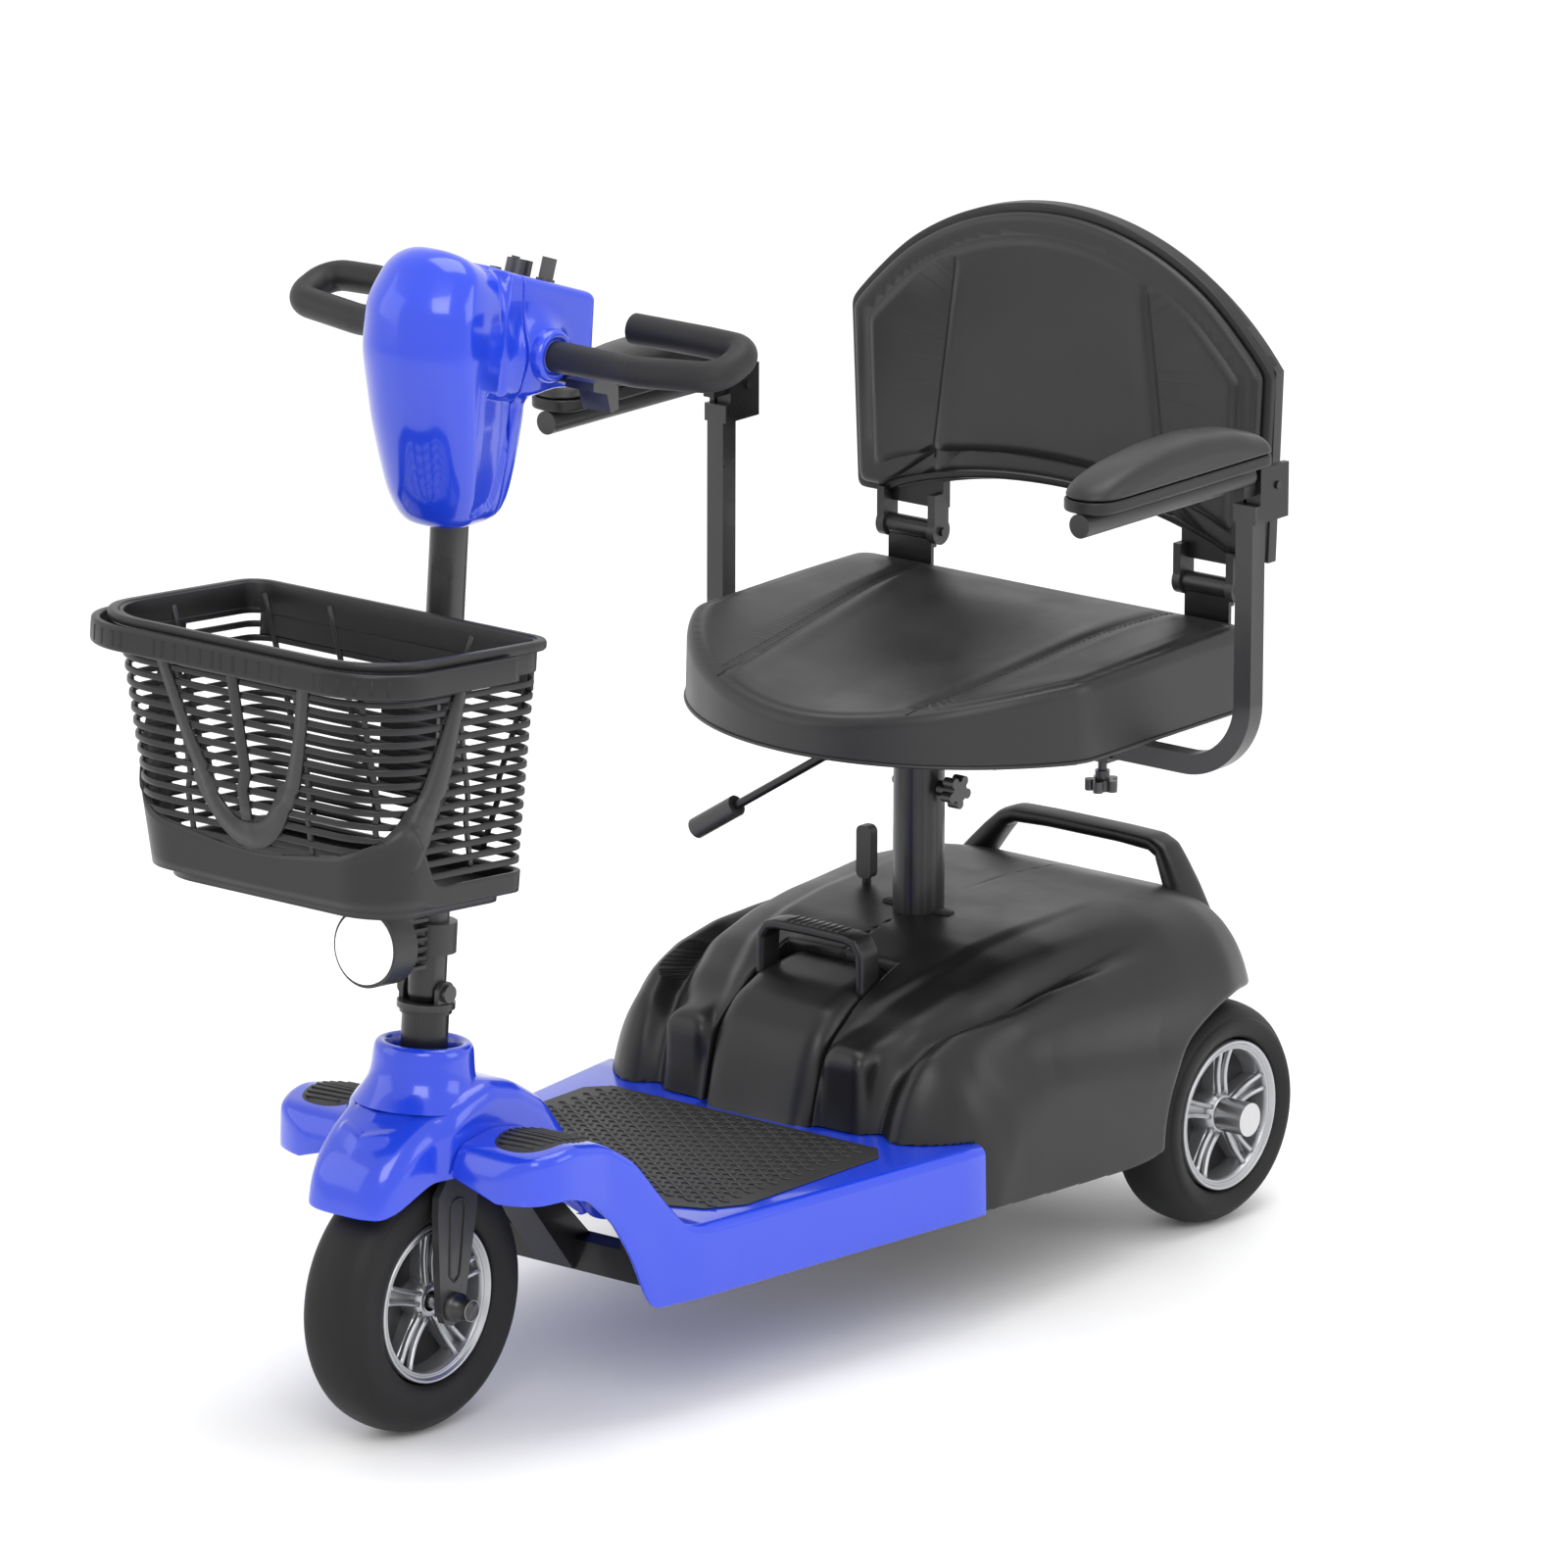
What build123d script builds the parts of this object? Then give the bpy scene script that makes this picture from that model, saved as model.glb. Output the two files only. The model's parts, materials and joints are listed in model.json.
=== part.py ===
"""Three-wheeled mobility scooter: every separate piece as its own STEP file.

Millimetres. +Z is up, the scooter faces -Y, the rider's left is +X.
The origin is on the ground, under the middle of the scooter's bounding box.
"""
import os
from math import atan2, degrees

from build123d import *

# ---------------------------------------------------------------- driving dimensions
WHEELBASE = 884.0
REAR_R = 100.0              # rear tyre radius, an 8 inch wheel
FRONT_R = 114.0             # front tyre radius, a 9 inch wheel
REAR_Y = 510.0              # rear axle
FRONT_Y = REAR_Y - WHEELBASE
REAR_X = 160.0              # middle plane of each rear wheel
TYRE_W = 69.0
RIM_R = 67.5
LEAN = 4.65                 # the steering axis leans back this many degrees

DECK_TOP = 165.0
DECK_BOTTOM = 104.0
DECK_REAR_Y = 133.0
DECK_HALF_REAR = 211.0
DECK_HALF_FRONT = 168.0
LOBE_HALF = 150.0
COVER_T = 4.0

SEAT_Y = 307.0              # seat post axis
SEAT_HALF = 217.0
SEAT_FRONT_Y = 126.0
SEAT_BACK_Y = 500.0
SEAT_BOTTOM = 475.0
POST_R = 22.5

BACK_FRONT_Y = 487.0
BACK_REAR_Y = 518.5
BACK_HALF = 231.0
BACK_PIVOT_Y = 505.0
BACK_PIVOT_Z = 578.0

ARM_X = 290.5
ARM_TUBE_R = 10.5
ARM_TUBE_Z = 718.4
ARM_FRONT_Y = 150.6
ARM_PIVOT_Y = 414.0
ARM_PIVOT_Z = 706.0
ARM_BAR = 18.0              # square tube of the armrest posts
ARM_RUN_Z = 453.5
ARM_RUN_Y = 392.0
ARM_KNOB_X = 135.0

TILLER_R = 16.0
SLEEVE_R = 19.75
PIVOT_H = 262.0             # tiller pivot, along the steering axis from the front axle
LIGHT_H = 308.0             # headlight, along the steering axis
BASKET_H = (376.0, 590.0)   # underside and rim of the basket, along the steering axis
HEAD_TUBE = (142.0, 198.0)  # ends of the head tube, along the steering axis
BAR_R = 11.0                # handlebar tube
GRIP_R = 13.0
BAR_Y = 49.5                # handlebar front leg, behind the tiller axis
BAR_H = 797.6
HEAD = [                    # control head: height, half width, front, back
    (656, 30, -38, 30),
    (680, 38, -52, 40),
    (740, 49, -72, 50),
    (800, 54, -88, 58),
    (850, 52, -84, 52),
    (880, 42, -66, 38),
    (893, 28, -45, 20),
]
HEAD_SPLIT_Y = 26.0         # parting plane of the head's two halves
TOP_SLOPE = degrees(atan2(20, 78))   # slope of the console's top face

RAIL_Z0 = 122.0             # under and upper faces of the frame rails
RAIL_Z1 = 150.0
FREEWHEEL_X = -82.0
FREEWHEEL_Y = 338.0
FREEWHEEL_Z = 160.0
SOCKET_TOP = 455.0
KNOB_Z = 412.0              # clamp bolt of the seat post
SEAT_RAISE = 60.0
BATTERY_HALF = 59.0
SHROUD_HALF = 60.0

RUN = 0.05                  # radial running clearance of a pin or shaft
GAP = 0.3                   # clearance between curved faces that pass each other

COLUMN = Location((0, FRONT_Y, FRONT_R), (-LEAN, 0, 0))   # steering axis is its local Z


# ---------------------------------------------------------------- helpers
def block(x0, x1, y0, y1, z0, z1):
    """Box between two corners."""
    return Pos((x0 + x1) / 2, (y0 + y1) / 2, (z0 + z1) / 2) * Box(x1 - x0, y1 - y0, z1 - z0)


def rod(a, b, r):
    """Round bar from point a to point b."""
    a, b = Vector(*a), Vector(*b)
    plane = Plane(origin=(a + b) / 2, z_dir=b - a)
    return plane * Cylinder(r, (b - a).length)


def tube(a, b, outer, inner):
    """Round tube from a to b."""
    a, b = Vector(*a), Vector(*b)
    over = (b - a).normalized()
    return rod(a, b, outer) - rod(a - over, b + over, inner)


def side_prism(points, x0, x1):
    """Outline in the Y-Z plane, extruded from x0 to x1."""
    face = make_face(Polyline(*[(0, y, z) for y, z in points], close=True))
    return Pos(x0, 0, 0) * extrude(face, x1 - x0, dir=(1, 0, 0))


def side_smooth(top, bottom, x0, x1):
    """Outline in the Y-Z plane with a smooth upper line and a straight-sided lower line."""
    line = Spline(*[(0, y, z) for y, z in top])
    rest = Polyline(*[(0, y, z) for y, z in [top[-1]] + bottom + [top[0]]])
    face = make_face([line, rest])
    return Pos(x0, 0, 0) * extrude(face, x1 - x0, dir=(1, 0, 0))


def plan_prism(points, z0, z1):
    """Outline in the X-Y plane, extruded from z0 to z1."""
    face = make_face(Polyline(*[(x, y) for x, y in points], close=True))
    return Pos(0, 0, z0) * extrude(face, z1 - z0)


def mirrored(points):
    """Both halves of an outline given by its +X half, from front to back."""
    return points + [(-x, y) for x, y in reversed(points)]


def flip(shape):
    """The same piece on the other side of the scooter."""
    return mirror(shape, about=Plane.YZ)


def write(name, *shapes):
    """One STEP file for one sub-part."""
    body = shapes[0] if len(shapes) == 1 else Compound(children=list(shapes))
    export_step(body, f"parts/{name}.step")


# ---------------------------------------------------------------- wheels
def tyre(radius, bead, width):
    """Tyre about the X axis, with rounded shoulders, centred on the origin."""
    half = width / 2
    shoulder = half * 0.62
    crown = Line((-shoulder, radius - 6), (-shoulder * 0.6, radius - 1.5))
    top = ThreePointArc((-shoulder * 0.6, radius - 1.5), (0, radius), (shoulder * 0.6, radius - 1.5))
    right_top = Line((shoulder * 0.6, radius - 1.5), (shoulder, radius - 6))
    mid = (radius + bead) / 2
    right = ThreePointArc((shoulder, radius - 6), (half, mid), (half - 6, bead))
    base = Line((half - 6, bead), (6 - half, bead))
    left = ThreePointArc((6 - half, bead), (-half, mid), (-shoulder, radius - 6))
    face = make_face([crown, top, right_top, right, base, left])
    return revolve(face, Axis.X)


def rim(outer, half, hub_r, bore_r, hub_half, spokes=5):
    """Five-spoke wheel about the X axis: barrel, hub and twin-rib spokes."""
    barrel = Polyline((-half, outer - 5), (-half, outer - 0.2), (half, outer - 0.2), (half, outer - 5),
                      (half - 7, outer - 9), (7 - half, outer - 9), close=True)
    body = revolve(make_face(barrel), Axis.X)
    hub = Rot(0, 90, 0) * Cylinder(hub_r, 2 * hub_half)
    spoke_len = outer - 8 - hub_r + 4
    spoke = Pos(0, 0, hub_r - 3 + spoke_len / 2) * Box(2 * half - 16, 17, spoke_len)
    groove = Pos(0, 0, hub_r + 1 + spoke_len / 2) * Box(2 * half, 5, spoke_len - 12)
    spoke = spoke - Pos(half, 0, 0) * groove - Pos(-half, 0, 0) * groove
    body = body + hub
    for i in range(spokes):
        body = body + Rot(360 / spokes * i, 0, 0) * spoke
    return body - Rot(0, 90, 0) * Cylinder(bore_r, 4 * half + 4 * hub_half)


def rear_wheel():
    """Left rear wheel: tyre, rim and half axle with its hub cap."""
    place = Pos(REAR_X, REAR_Y, REAR_R)
    rubber = place * tyre(REAR_R, RIM_R, TYRE_W)
    wheel = place * rim(RIM_R, 31, 20, 9, 24)
    shaft = rod((62, REAR_Y, REAR_R), (REAR_X + 24, REAR_Y, REAR_R), 9)
    cap = rod((REAR_X + 24, REAR_Y, REAR_R), (REAR_X + 52, REAR_Y, REAR_R), 15)
    return rubber, wheel, shaft + cap


def front_wheel():
    """Front tyre and rim, on a fixed axle."""
    place = Pos(0, FRONT_Y, FRONT_R)
    return place * tyre(FRONT_R, 69.4, TYRE_W), place * rim(69.4, 29.5, 17, 6 + RUN, 32)


# ---------------------------------------------------------------- fork and steering column
def fork():
    """Fork: round crown and two plate legs, in the column's frame."""
    crown = Pos(0, 0, 127) * Cylinder(45, 14) - Pos(0, 0, 127) * Cylinder(14, 20)
    legs = crown
    for side in (1, -1):
        outline = [(-17, 134), (-17, 108), (-25, 96), (-25, 80), (-15, -4), (-9, -14), (0, -17), (9, -14),
                   (15, -4), (25, 80), (25, 96), (17, 108), (17, 134)]
        leg = side_prism(outline, 38 if side > 0 else -45, 45 if side > 0 else -38)
        legs = legs + leg
    hole = rod((-60, 0, 0), (60, 0, 0), 6)
    return COLUMN * (legs - hole)


def front_axle():
    """Through axle with a nut at each end."""
    axle = rod((-58, 0, 0), (58, 0, 0), 6)
    nut_l = rod((45, 0, 0), (66, 0, 0), 9)
    nut_r = rod((-66, 0, 0), (-45, 0, 0), 9)
    return COLUMN * (axle + nut_l + nut_r)


def steerer():
    """Steerer: narrow stem in the bearings, wide sleeve, and a cup with two ears for the tiller."""
    stem = Pos(0, 0, 163) * Cylinder(14, 86)
    sleeve = Pos(0, 0, 227) * Cylinder(SLEEVE_R, 42)
    flare = Pos(0, 0, 250) * Cylinder(24.5, 5.5)
    neck = Pos(0, 0, 248) * Cylinder(22, 9.5)
    ear = block(17, 21.5, -10, 10, 248, PIVOT_H) + rod((17, 0, PIVOT_H), (21.5, 0, PIVOT_H), 10)
    body = stem + sleeve + flare + neck + ear + flip(ear)
    body = body - Pos(0, 0, PIVOT_H) * Sphere(TILLER_R + GAP) - rod((-30, 0, PIVOT_H), (30, 0, PIVOT_H), 4)
    return COLUMN * body


def tiller_pin():
    """Hinge pin of the folding tiller, with a head and a nut."""
    pin = rod((-26, 0, PIVOT_H), (26, 0, PIVOT_H), 4)
    head = rod((21.6, 0, PIVOT_H), (26, 0, PIVOT_H), 7.5)
    return COLUMN * (pin + head + flip(head))


def tiller_tube():
    """Tiller tube with a round pivot end."""
    body = Pos(0, 0, (PIVOT_H + 830) / 2) * Cylinder(TILLER_R, 830 - PIVOT_H)
    body = body + Pos(0, 0, PIVOT_H) * Sphere(TILLER_R)
    body = body - Pos(0, 0, 560) * Cylinder(13, 542)
    return COLUMN * (body - rod((-30, 0, PIVOT_H), (30, 0, PIVOT_H), 4 + RUN) - bar_hole())


def bar_hole():
    """Room for the handlebar behind the tiller tube."""
    return rod((-80, BAR_Y, BAR_H), (80, BAR_Y, BAR_H), BAR_R + 0.4)


# ---------------------------------------------------------------- headlight
def headlight_housing():
    """Lamp can with a finned heat sink and a clamp round the tiller tube."""
    can = rod((0, -82, LIGHT_H), (0, -54, LIGHT_H), 33.5) - rod((0, -90, LIGHT_H), (0, -60, LIGHT_H), 30.5)
    core = rod((0, -54, LIGHT_H), (0, -24, LIGHT_H), 14)
    body = can + core
    for i in range(6):
        z = LIGHT_H - 20 + 8 * i
        body = body + block(-20, 20, -54, -26, z - 1.5, z + 1.5)
    clamp = Pos(0, 0, LIGHT_H) * Cylinder(23, 26)
    body = body + clamp + block(-12, 12, -32, -18, LIGHT_H - 10, LIGHT_H + 10)
    return COLUMN * (body - Pos(0, 0, LIGHT_H) * Cylinder(TILLER_R + 0.02, 60))


def headlight_lens():
    """Domed lens in the mouth of the lamp can."""
    disc = rod((0, -84, LIGHT_H), (0, -62, LIGHT_H), 30.3)
    dome = Pos(0, 34, LIGHT_H) * Sphere(122)
    return COLUMN * (disc & dome)


# ---------------------------------------------------------------- basket
def basket_outline(w, front, back, r_front, r_back):
    """Rounded plan outline of the basket, wide at w, from front to back, as one wire."""
    with BuildSketch() as sk:
        with BuildLine():
            Polyline((w, back), (w, front), (-w, front), (-w, back), close=True)
        make_face()
        front_corners = sk.vertices().filter_by(lambda v: v.Y < (front + back) / 2)
        fillet(front_corners, r_front)
        back_corners = sk.vertices().filter_by(lambda v: v.Y > back - 1)
        fillet(back_corners, r_back)
    return sk.sketch


def basket_body(grow):
    """Tapered solid of the basket's outside, grown (or shrunk) all round."""
    low, high = BASKET_H
    base = basket_outline(137 + grow, -(222 + grow), -(42 - grow), 45, 22)
    rim_ = basket_outline(158 + grow, -(270 + grow), -(57 - grow), 62, 22)
    return loft([Pos(0, 0, low - min(grow, 0)) * base, Pos(0, 0, high + (5 if grow < 0 else 0)) * rim_])


def basket():
    """Wire-look moulded basket: slotted walls, rim flange, floor tray and a rear hook."""
    low, high = BASKET_H
    wall = basket_body(0) - basket_body(-4)
    slots = None
    for i in range(13):
        z = low + 52 + 11.5 * i
        for x in (-96, -32, 32, 96):
            cut = block(x - 26, x + 26, -300, -150, z, z + 6)
            slots = cut if slots is None else slots + cut
        for side in (1, -1):
            a, b = sorted((side * 110, side * 200))
            slots = slots + block(a, b, -182, -124, z, z + 6) + block(a, b, -112, -76, z, z + 6)
    wall = wall - slots
    rim_out = basket_outline(164, -276, -50, 66, 20)
    rim_in = basket_outline(154, -266, -61, 58, 20)
    flange = Pos(0, 0, high - 6) * extrude(rim_out, 6) - Pos(0, 0, high - 10) * extrude(rim_in, 20)
    tray = Pos(0, 0, low - 12) * extrude(basket_outline(125, -210, -54, 38, 18), 12.5)
    tray = tray - Pos(0, 0, low - 8) * extrude(basket_outline(121, -206, -58, 34, 14), 30)
    floor = Pos(0, 0, low - 8.5) * extrude(basket_outline(119, -204, -60, 32, 12), 1.5)
    hook = block(-34, 34, -56, -35, 566, 572)
    boss = rod((156, -112, high - 14), (166, -112, high - 14), 5)
    return COLUMN * (wall + flange + tray + floor + hook + boss + flip(boss))


def basket_handle():
    """Bail handle folded down round the outside of the rim."""
    low, high = BASKET_H
    outer = basket_outline(177, -285, -20, 72, 20)
    inner = basket_outline(168, -276.6, -10, 66, 20)
    band = Pos(0, 0, high - 28) * extrude(outer, 21.5) - Pos(0, 0, high - 40) * extrude(inner, 60)
    band = band & block(-200, 200, -400, -104, high - 60, high + 60)
    holes = rod((-200, -112, high - 14), (200, -112, high - 14), 5 + RUN)
    return COLUMN * (band - holes)


def basket_bracket():
    """Bracket that clamps to the tiller tube and carries the basket on its upper edge."""
    body = block(-30, 30, -40, -36, 430, 565.7)
    for h in (455, 535):
        body = body + block(-14, 14, -37, -14, h - 15, h + 15) + Pos(0, 0, h) * Cylinder(22, 30)
    return COLUMN * (body - Pos(0, 0, 500) * Cylinder(TILLER_R + 0.02, 200))


# ---------------------------------------------------------------- control head
def head_solid(grow):
    """Smooth outside of the control head, grown all round."""
    sections = []
    for height, half, front, back in HEAD:
        lift = grow if height in (656, 893) else 0
        z = height - lift if height == 656 else height + lift
        middle = (front + back) / 2
        depth = (back - front) / 2
        sections.append(Pos(0, middle, z) * Ellipse(half + grow, depth + grow))
    return loft(sections)


def console(grow):
    """Dashboard block behind the head, facing the rider."""
    g = grow
    outline = [(20, 766 - g), (100, 766 - g), (120 + g, 790 - g), (122 + g, 838 + g), (44, 858 + g),
               (20, 862 + g)]
    return side_prism(outline, -46 - g, 46 + g)


def head_front_cover():
    """Front half of the head, a shell in the body colour."""
    shell = head_solid(0) - head_solid(-3) - Pos(0, 0, 650) * Cylinder(TILLER_R + 1, 60)
    keep = block(-100, 100, -200, HEAD_SPLIT_Y, 600, 950)
    return COLUMN * ((shell & keep) - bar_collar_room())


def head_rear_cover():
    """Rear half of the head with the console, a shell that holds the controls."""
    keep = block(-100, 100, HEAD_SPLIT_Y + 0.1, 200, 600, 950)
    outside = (head_solid(0) + console(0)) & keep
    inside = (head_solid(-3) + console(-3))
    body = outside - inside - bar_collar_room()
    body = body - Pos(0, 0, 650) * Cylinder(TILLER_R + 1, 60)
    for place, radius in control_places():
        body = body - place * Cylinder(radius, 20)
    return COLUMN * (body - lever_slot())


def bar_collar_room():
    """Holes in both sides of the head for the grips and the handlebar."""
    return rod((-90, BAR_Y, BAR_H), (90, BAR_Y, BAR_H), GRIP_R + 1.0)


def lever_slot():
    """Slots in the underside of the console for the throttle lever's arms."""
    return block(-90, 90, 62, 82, 770, 790)


def console_top(x, back, above):
    """Location on the console's sloping top face."""
    y = 44 + back
    z = 858 - back * 20 / 78
    return Pos(x, y, z) * Rot(-TOP_SLOPE, 0, 0) * Pos(0, 0, above)


def control_places():
    """Holes in the console top: speed dial, key and horn button."""
    return [(console_top(0, 26, 0), 4.4), (console_top(27, 30, 0), 4.4), (console_top(-27, 30, 0), 5.4)]


def speed_dial():
    """Ribbed knob on the console top."""
    knob = console_top(0, 26, 8.8) * Cylinder(11, 15)
    pointer = console_top(0, 20, 17) * Box(2, 9, 2)
    stem = console_top(0, 26, -3) * Cylinder(4, 10)
    return COLUMN * (knob + stem + pointer)


def key():
    """Key in its switch."""
    barrel = console_top(27, 30, -2) * Cylinder(4, 10)
    collar = console_top(27, 30, 2.4) * Cylinder(8, 4)
    bow = console_top(27, 30, 13) * Box(3, 16, 18)
    return COLUMN * (barrel + collar + bow)


def horn_button():
    """Sprung push button."""
    return COLUMN * (console_top(-27, 30, 0.5) * Cylinder(5, 13))


def bar_route():
    """Centre line of the left half of the handlebar: out, round and back inwards."""
    return [(0, BAR_Y, BAR_H), (150, BAR_Y, BAR_H), (226, 60, BAR_H + 5), (226, 100, BAR_H + 23),
            (180, 101, BAR_H + 24), (106, 101, BAR_H + 24)]


def bar_wire(points):
    """Bent-tube centre line with rounded corners."""
    radii = [60, 19.5, 19.5, 60]
    return FilletPolyline(*points, radius=radii)


def bar_sweep(radius, start_x):
    """Round section carried along one half of the handlebar."""
    path = bar_wire(bar_route())
    section = Plane(origin=path @ 0, z_dir=path % 0) * Circle(radius)
    body = sweep(section, path=path)
    return body - block(-1, start_x, -200, 300, 600, 1000)


def handlebar():
    """Bent steel handlebar with two closed loops."""
    half = bar_sweep(BAR_R, 0)
    return COLUMN * (half + flip(half))


def grip():
    """Left foam grip over the bar, closed at its inner end."""
    foam = bar_sweep(GRIP_R, 48)
    end = rod((106, 101, BAR_H + 24), (103, 101, BAR_H + 24), GRIP_R)
    return COLUMN * (foam + end - bar_sweep(BAR_R, 0))


def throttle_lever():
    """Throttle: a cross rod under the bar with a paddle at each end."""
    y, h = 72, 776
    rod_ = rod((-96, y, h), (96, y, h), 4)
    outline = [(60, h + 3), (74, h + 6), (92, h - 2), (94, h - 22), (84, h - 24), (78, h - 8), (60, h - 4)]
    paddle = side_prism(outline, 66, 96)
    return COLUMN * (rod_ + paddle + flip(paddle))


# ---------------------------------------------------------------- frame
def main_frame():
    """Welded frame: head tube, down tube, two rails, cross bars and the rear mounts."""
    low, high = HEAD_TUBE
    head_tube = COLUMN * (Pos(0, 0, (low + high) / 2) * Cylinder(22, high - low))
    outline = [(-350, 296), (-334, 296), (-163, 120), (-163, 96), (-188, 96), (-314, 253), (-346, 264)]
    down = side_prism(outline, -20, 20)
    body = head_tube + down + block(-110, 110, -186, -161, 95, RAIL_Z0)
    for side in (1, -1):
        x0, x1 = sorted((side * 70, side * 95))
        body = body + block(x0, x1, -186, 500, RAIL_Z0 - 1, RAIL_Z1)
    body = body + block(-95, 95, 70, 200, 118, RAIL_Z0) + block(-95, 95, 280, 334, 118, RAIL_Z0 + 4)
    for x in (-90, -77):
        body = body + block(x, x + 3, FREEWHEEL_Y - 8, FREEWHEEL_Y + 8, RAIL_Z1 - 1, FREEWHEEL_Z + 8)
    body = body - rod((-95, FREEWHEEL_Y, FREEWHEEL_Z), (-70, FREEWHEEL_Y, FREEWHEEL_Z), 3)
    bore = COLUMN * (Pos(0, 0, 170) * Cylinder(17, 120))
    return body - bore


def headset_bearings():
    """Two bearing rings between the head tube and the steerer."""
    low, high = HEAD_TUBE
    rings = []
    for z in (low + 6, high - 6):
        rings.append(COLUMN * (Pos(0, 0, z) * (Cylinder(16.98, 10) - Cylinder(14 + RUN, 12))))
    return rings


def seat_post_socket():
    """Fixed outer seat post with a flange, standing on the frame."""
    foot = RAIL_Z0 + 4.1
    body = rod((0, SEAT_Y, foot), (0, SEAT_Y, SOCKET_TOP), POST_R)
    body = body + rod((0, SEAT_Y, foot), (0, SEAT_Y, foot + 6), 40)
    body = body - rod((0, SEAT_Y, foot - 1), (0, SEAT_Y, SOCKET_TOP + 1), 19.6)
    return body - rod((-40, SEAT_Y, KNOB_Z), (40, SEAT_Y, KNOB_Z), 4 + RUN)


def star(radius, thick, points=5):
    """Lobed clamp knob about the Z axis."""
    body = Cylinder(radius * 0.62, thick)
    for i in range(points):
        body = body + Rot(0, 0, 360 / points * i) * Pos(radius * 0.72, 0, 0) * Cylinder(radius * 0.3, thick)
    return body


def post_knob():
    """Clamp bolt through the seat post with its star knob."""
    bolt = rod((-27, SEAT_Y, KNOB_Z), (36, SEAT_Y, KNOB_Z), 4)
    head = Pos(40, SEAT_Y, KNOB_Z) * Rot(0, 90, 0) * star(15, 11)
    collar = rod((24, SEAT_Y, KNOB_Z), (35, SEAT_Y, KNOB_Z), 7)
    return bolt + head + collar


def arm_knob():
    """Clamp bolt under the left armrest receiver with its star knob."""
    x = ARM_KNOB_X
    bolt = rod((x, ARM_RUN_Y, 422), (x, ARM_RUN_Y, 444.2), 4)
    return bolt + Pos(x, ARM_RUN_Y, 417) * star(15, 10) + rod((x, ARM_RUN_Y, 421), (x, ARM_RUN_Y, 430), 6.5)


# ---------------------------------------------------------------- drive
def transaxle_housing():
    """Gear case and axle tube between the rear wheels."""
    body = rod((-112, REAR_Y, REAR_R), (112, REAR_Y, REAR_R), 21.9)
    body = body + block(-35, 35, 440, 540, 70, 121)
    return body - rod((-120, REAR_Y, REAR_R), (120, REAR_Y, REAR_R), 9 + RUN)


def drive_motor():
    """Motor beside the gear case, with its end cap."""
    can = rod((35.1, 420, 88), (104, 420, 88), 32)
    cap = rod((103, 420, 88), (110, 420, 88), 26)
    return can + cap + block(35.1, 44, 430, 470, 74, 112)


def controller_box():
    """Speed controller with cooling ribs, across the rails behind the battery."""
    body = block(-85, 85, 215, 275, RAIL_Z1 + 0.1, 182)
    for i in range(9):
        x = -64 + 16 * i
        body = body + block(x - 2, x + 2, 219, 271, 181, 190)
    return body


def battery_case():
    """Lift-out battery with a domed top, in the front of the body."""
    top = [(82, 200), (95, 235), (125, 262), (165, 273), (198, 275)]
    body = side_smooth(top, [(198, 122.2), (82, 122.2)], -BATTERY_HALF, BATTERY_HALF)
    uprights = body.edges().filter_by(Axis.Z).filter_by(lambda e: e.center().Y < 100)
    return fillet(uprights, 12)


def battery_handle():
    """Strap handle on top of the battery."""
    arch = block(-60, 60, 152, 180, 268, 316) - block(-49, 49, 150, 182, 240, 306)
    tops = arch.edges().filter_by(Axis.Y).filter_by(lambda e: e.center().Z > 315)
    arch = fillet(tops, 9)
    return arch - battery_case()


def freewheel_lever():
    """Freewheel lever: pivot pin, steel rod and ribbed grip."""
    x = FREEWHEEL_X
    shaft = rod((x, FREEWHEEL_Y, FREEWHEEL_Z), (x, FREEWHEEL_Y, 318), 4)
    shaft = shaft + rod((x - 4.8, FREEWHEEL_Y, FREEWHEEL_Z), (x + 4.8, FREEWHEEL_Y, FREEWHEEL_Z), 6)
    shaft = shaft + rod((x - 11, FREEWHEEL_Y, FREEWHEEL_Z), (x + 11, FREEWHEEL_Y, FREEWHEEL_Z), 3 - RUN)
    grip_ = block(x - 8, x + 8, FREEWHEEL_Y - 5, FREEWHEEL_Y + 5, 306, 354)
    corners = grip_.edges().filter_by(Axis.Y)
    grip_ = fillet(corners, 6)
    return shaft, grip_ - shaft


# ---------------------------------------------------------------- covers
def deck_outline(grow):
    """Plan outline of the deck with its foot lobes, half on each side."""
    g = grow
    half = [(60, -392 - g), (118, -392 - g), (140, -384 - g), (LOBE_HALF + g, -358), (LOBE_HALF + g, -300),
            (DECK_HALF_FRONT - 6 + g, -240), (DECK_HALF_FRONT + 4 + g, -200),
            (DECK_HALF_REAR + g, DECK_REAR_Y + g)]
    return mirrored(half)


def deck_profile(grow):
    """Side outline of the deck, rising over the front wheel."""
    g = grow
    top = [(DECK_REAR_Y + 1, DECK_TOP + g), (-196, DECK_TOP + g), (-216, 172 + g), (-240, 200 + g),
           (-268, 236 + g), (-300, 256 + g), (-340, 264 + g), (-384, 260 + g), (-393 - g, 248 + g)]
    bottom = [(-393 - g, 219), (-351, 221), (-325, 213), (-296, 188), (-272, 148), (-256, DECK_BOTTOM)]
    if grow < 0:
        bottom = [(-393 - g, 100), (-250, 90)]
        bottom.append((DECK_REAR_Y + 1, 90))
    else:
        bottom.append((DECK_REAR_Y + 1, DECK_BOTTOM))
    return side_prism(top + bottom, -230, 230)


def deck_cover():
    """Floor pan with side skirts, foot lobes and arches, one shell in the body colour."""
    outside = deck_profile(0) & plan_prism(deck_outline(0), 60, 320)
    inside = deck_profile(-COVER_T) & plan_prism(deck_outline(-COVER_T), 60, 320)
    body = outside - inside
    slot = block(-SHROUD_HALF - 0.2, SHROUD_HALF + 0.2, -420, -170, 100, 320)
    battery_bay = block(-BATTERY_HALF - 3, BATTERY_HALF + 3, 79, 200, 100, 320)
    return body - slot - battery_bay - rail_way()


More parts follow.
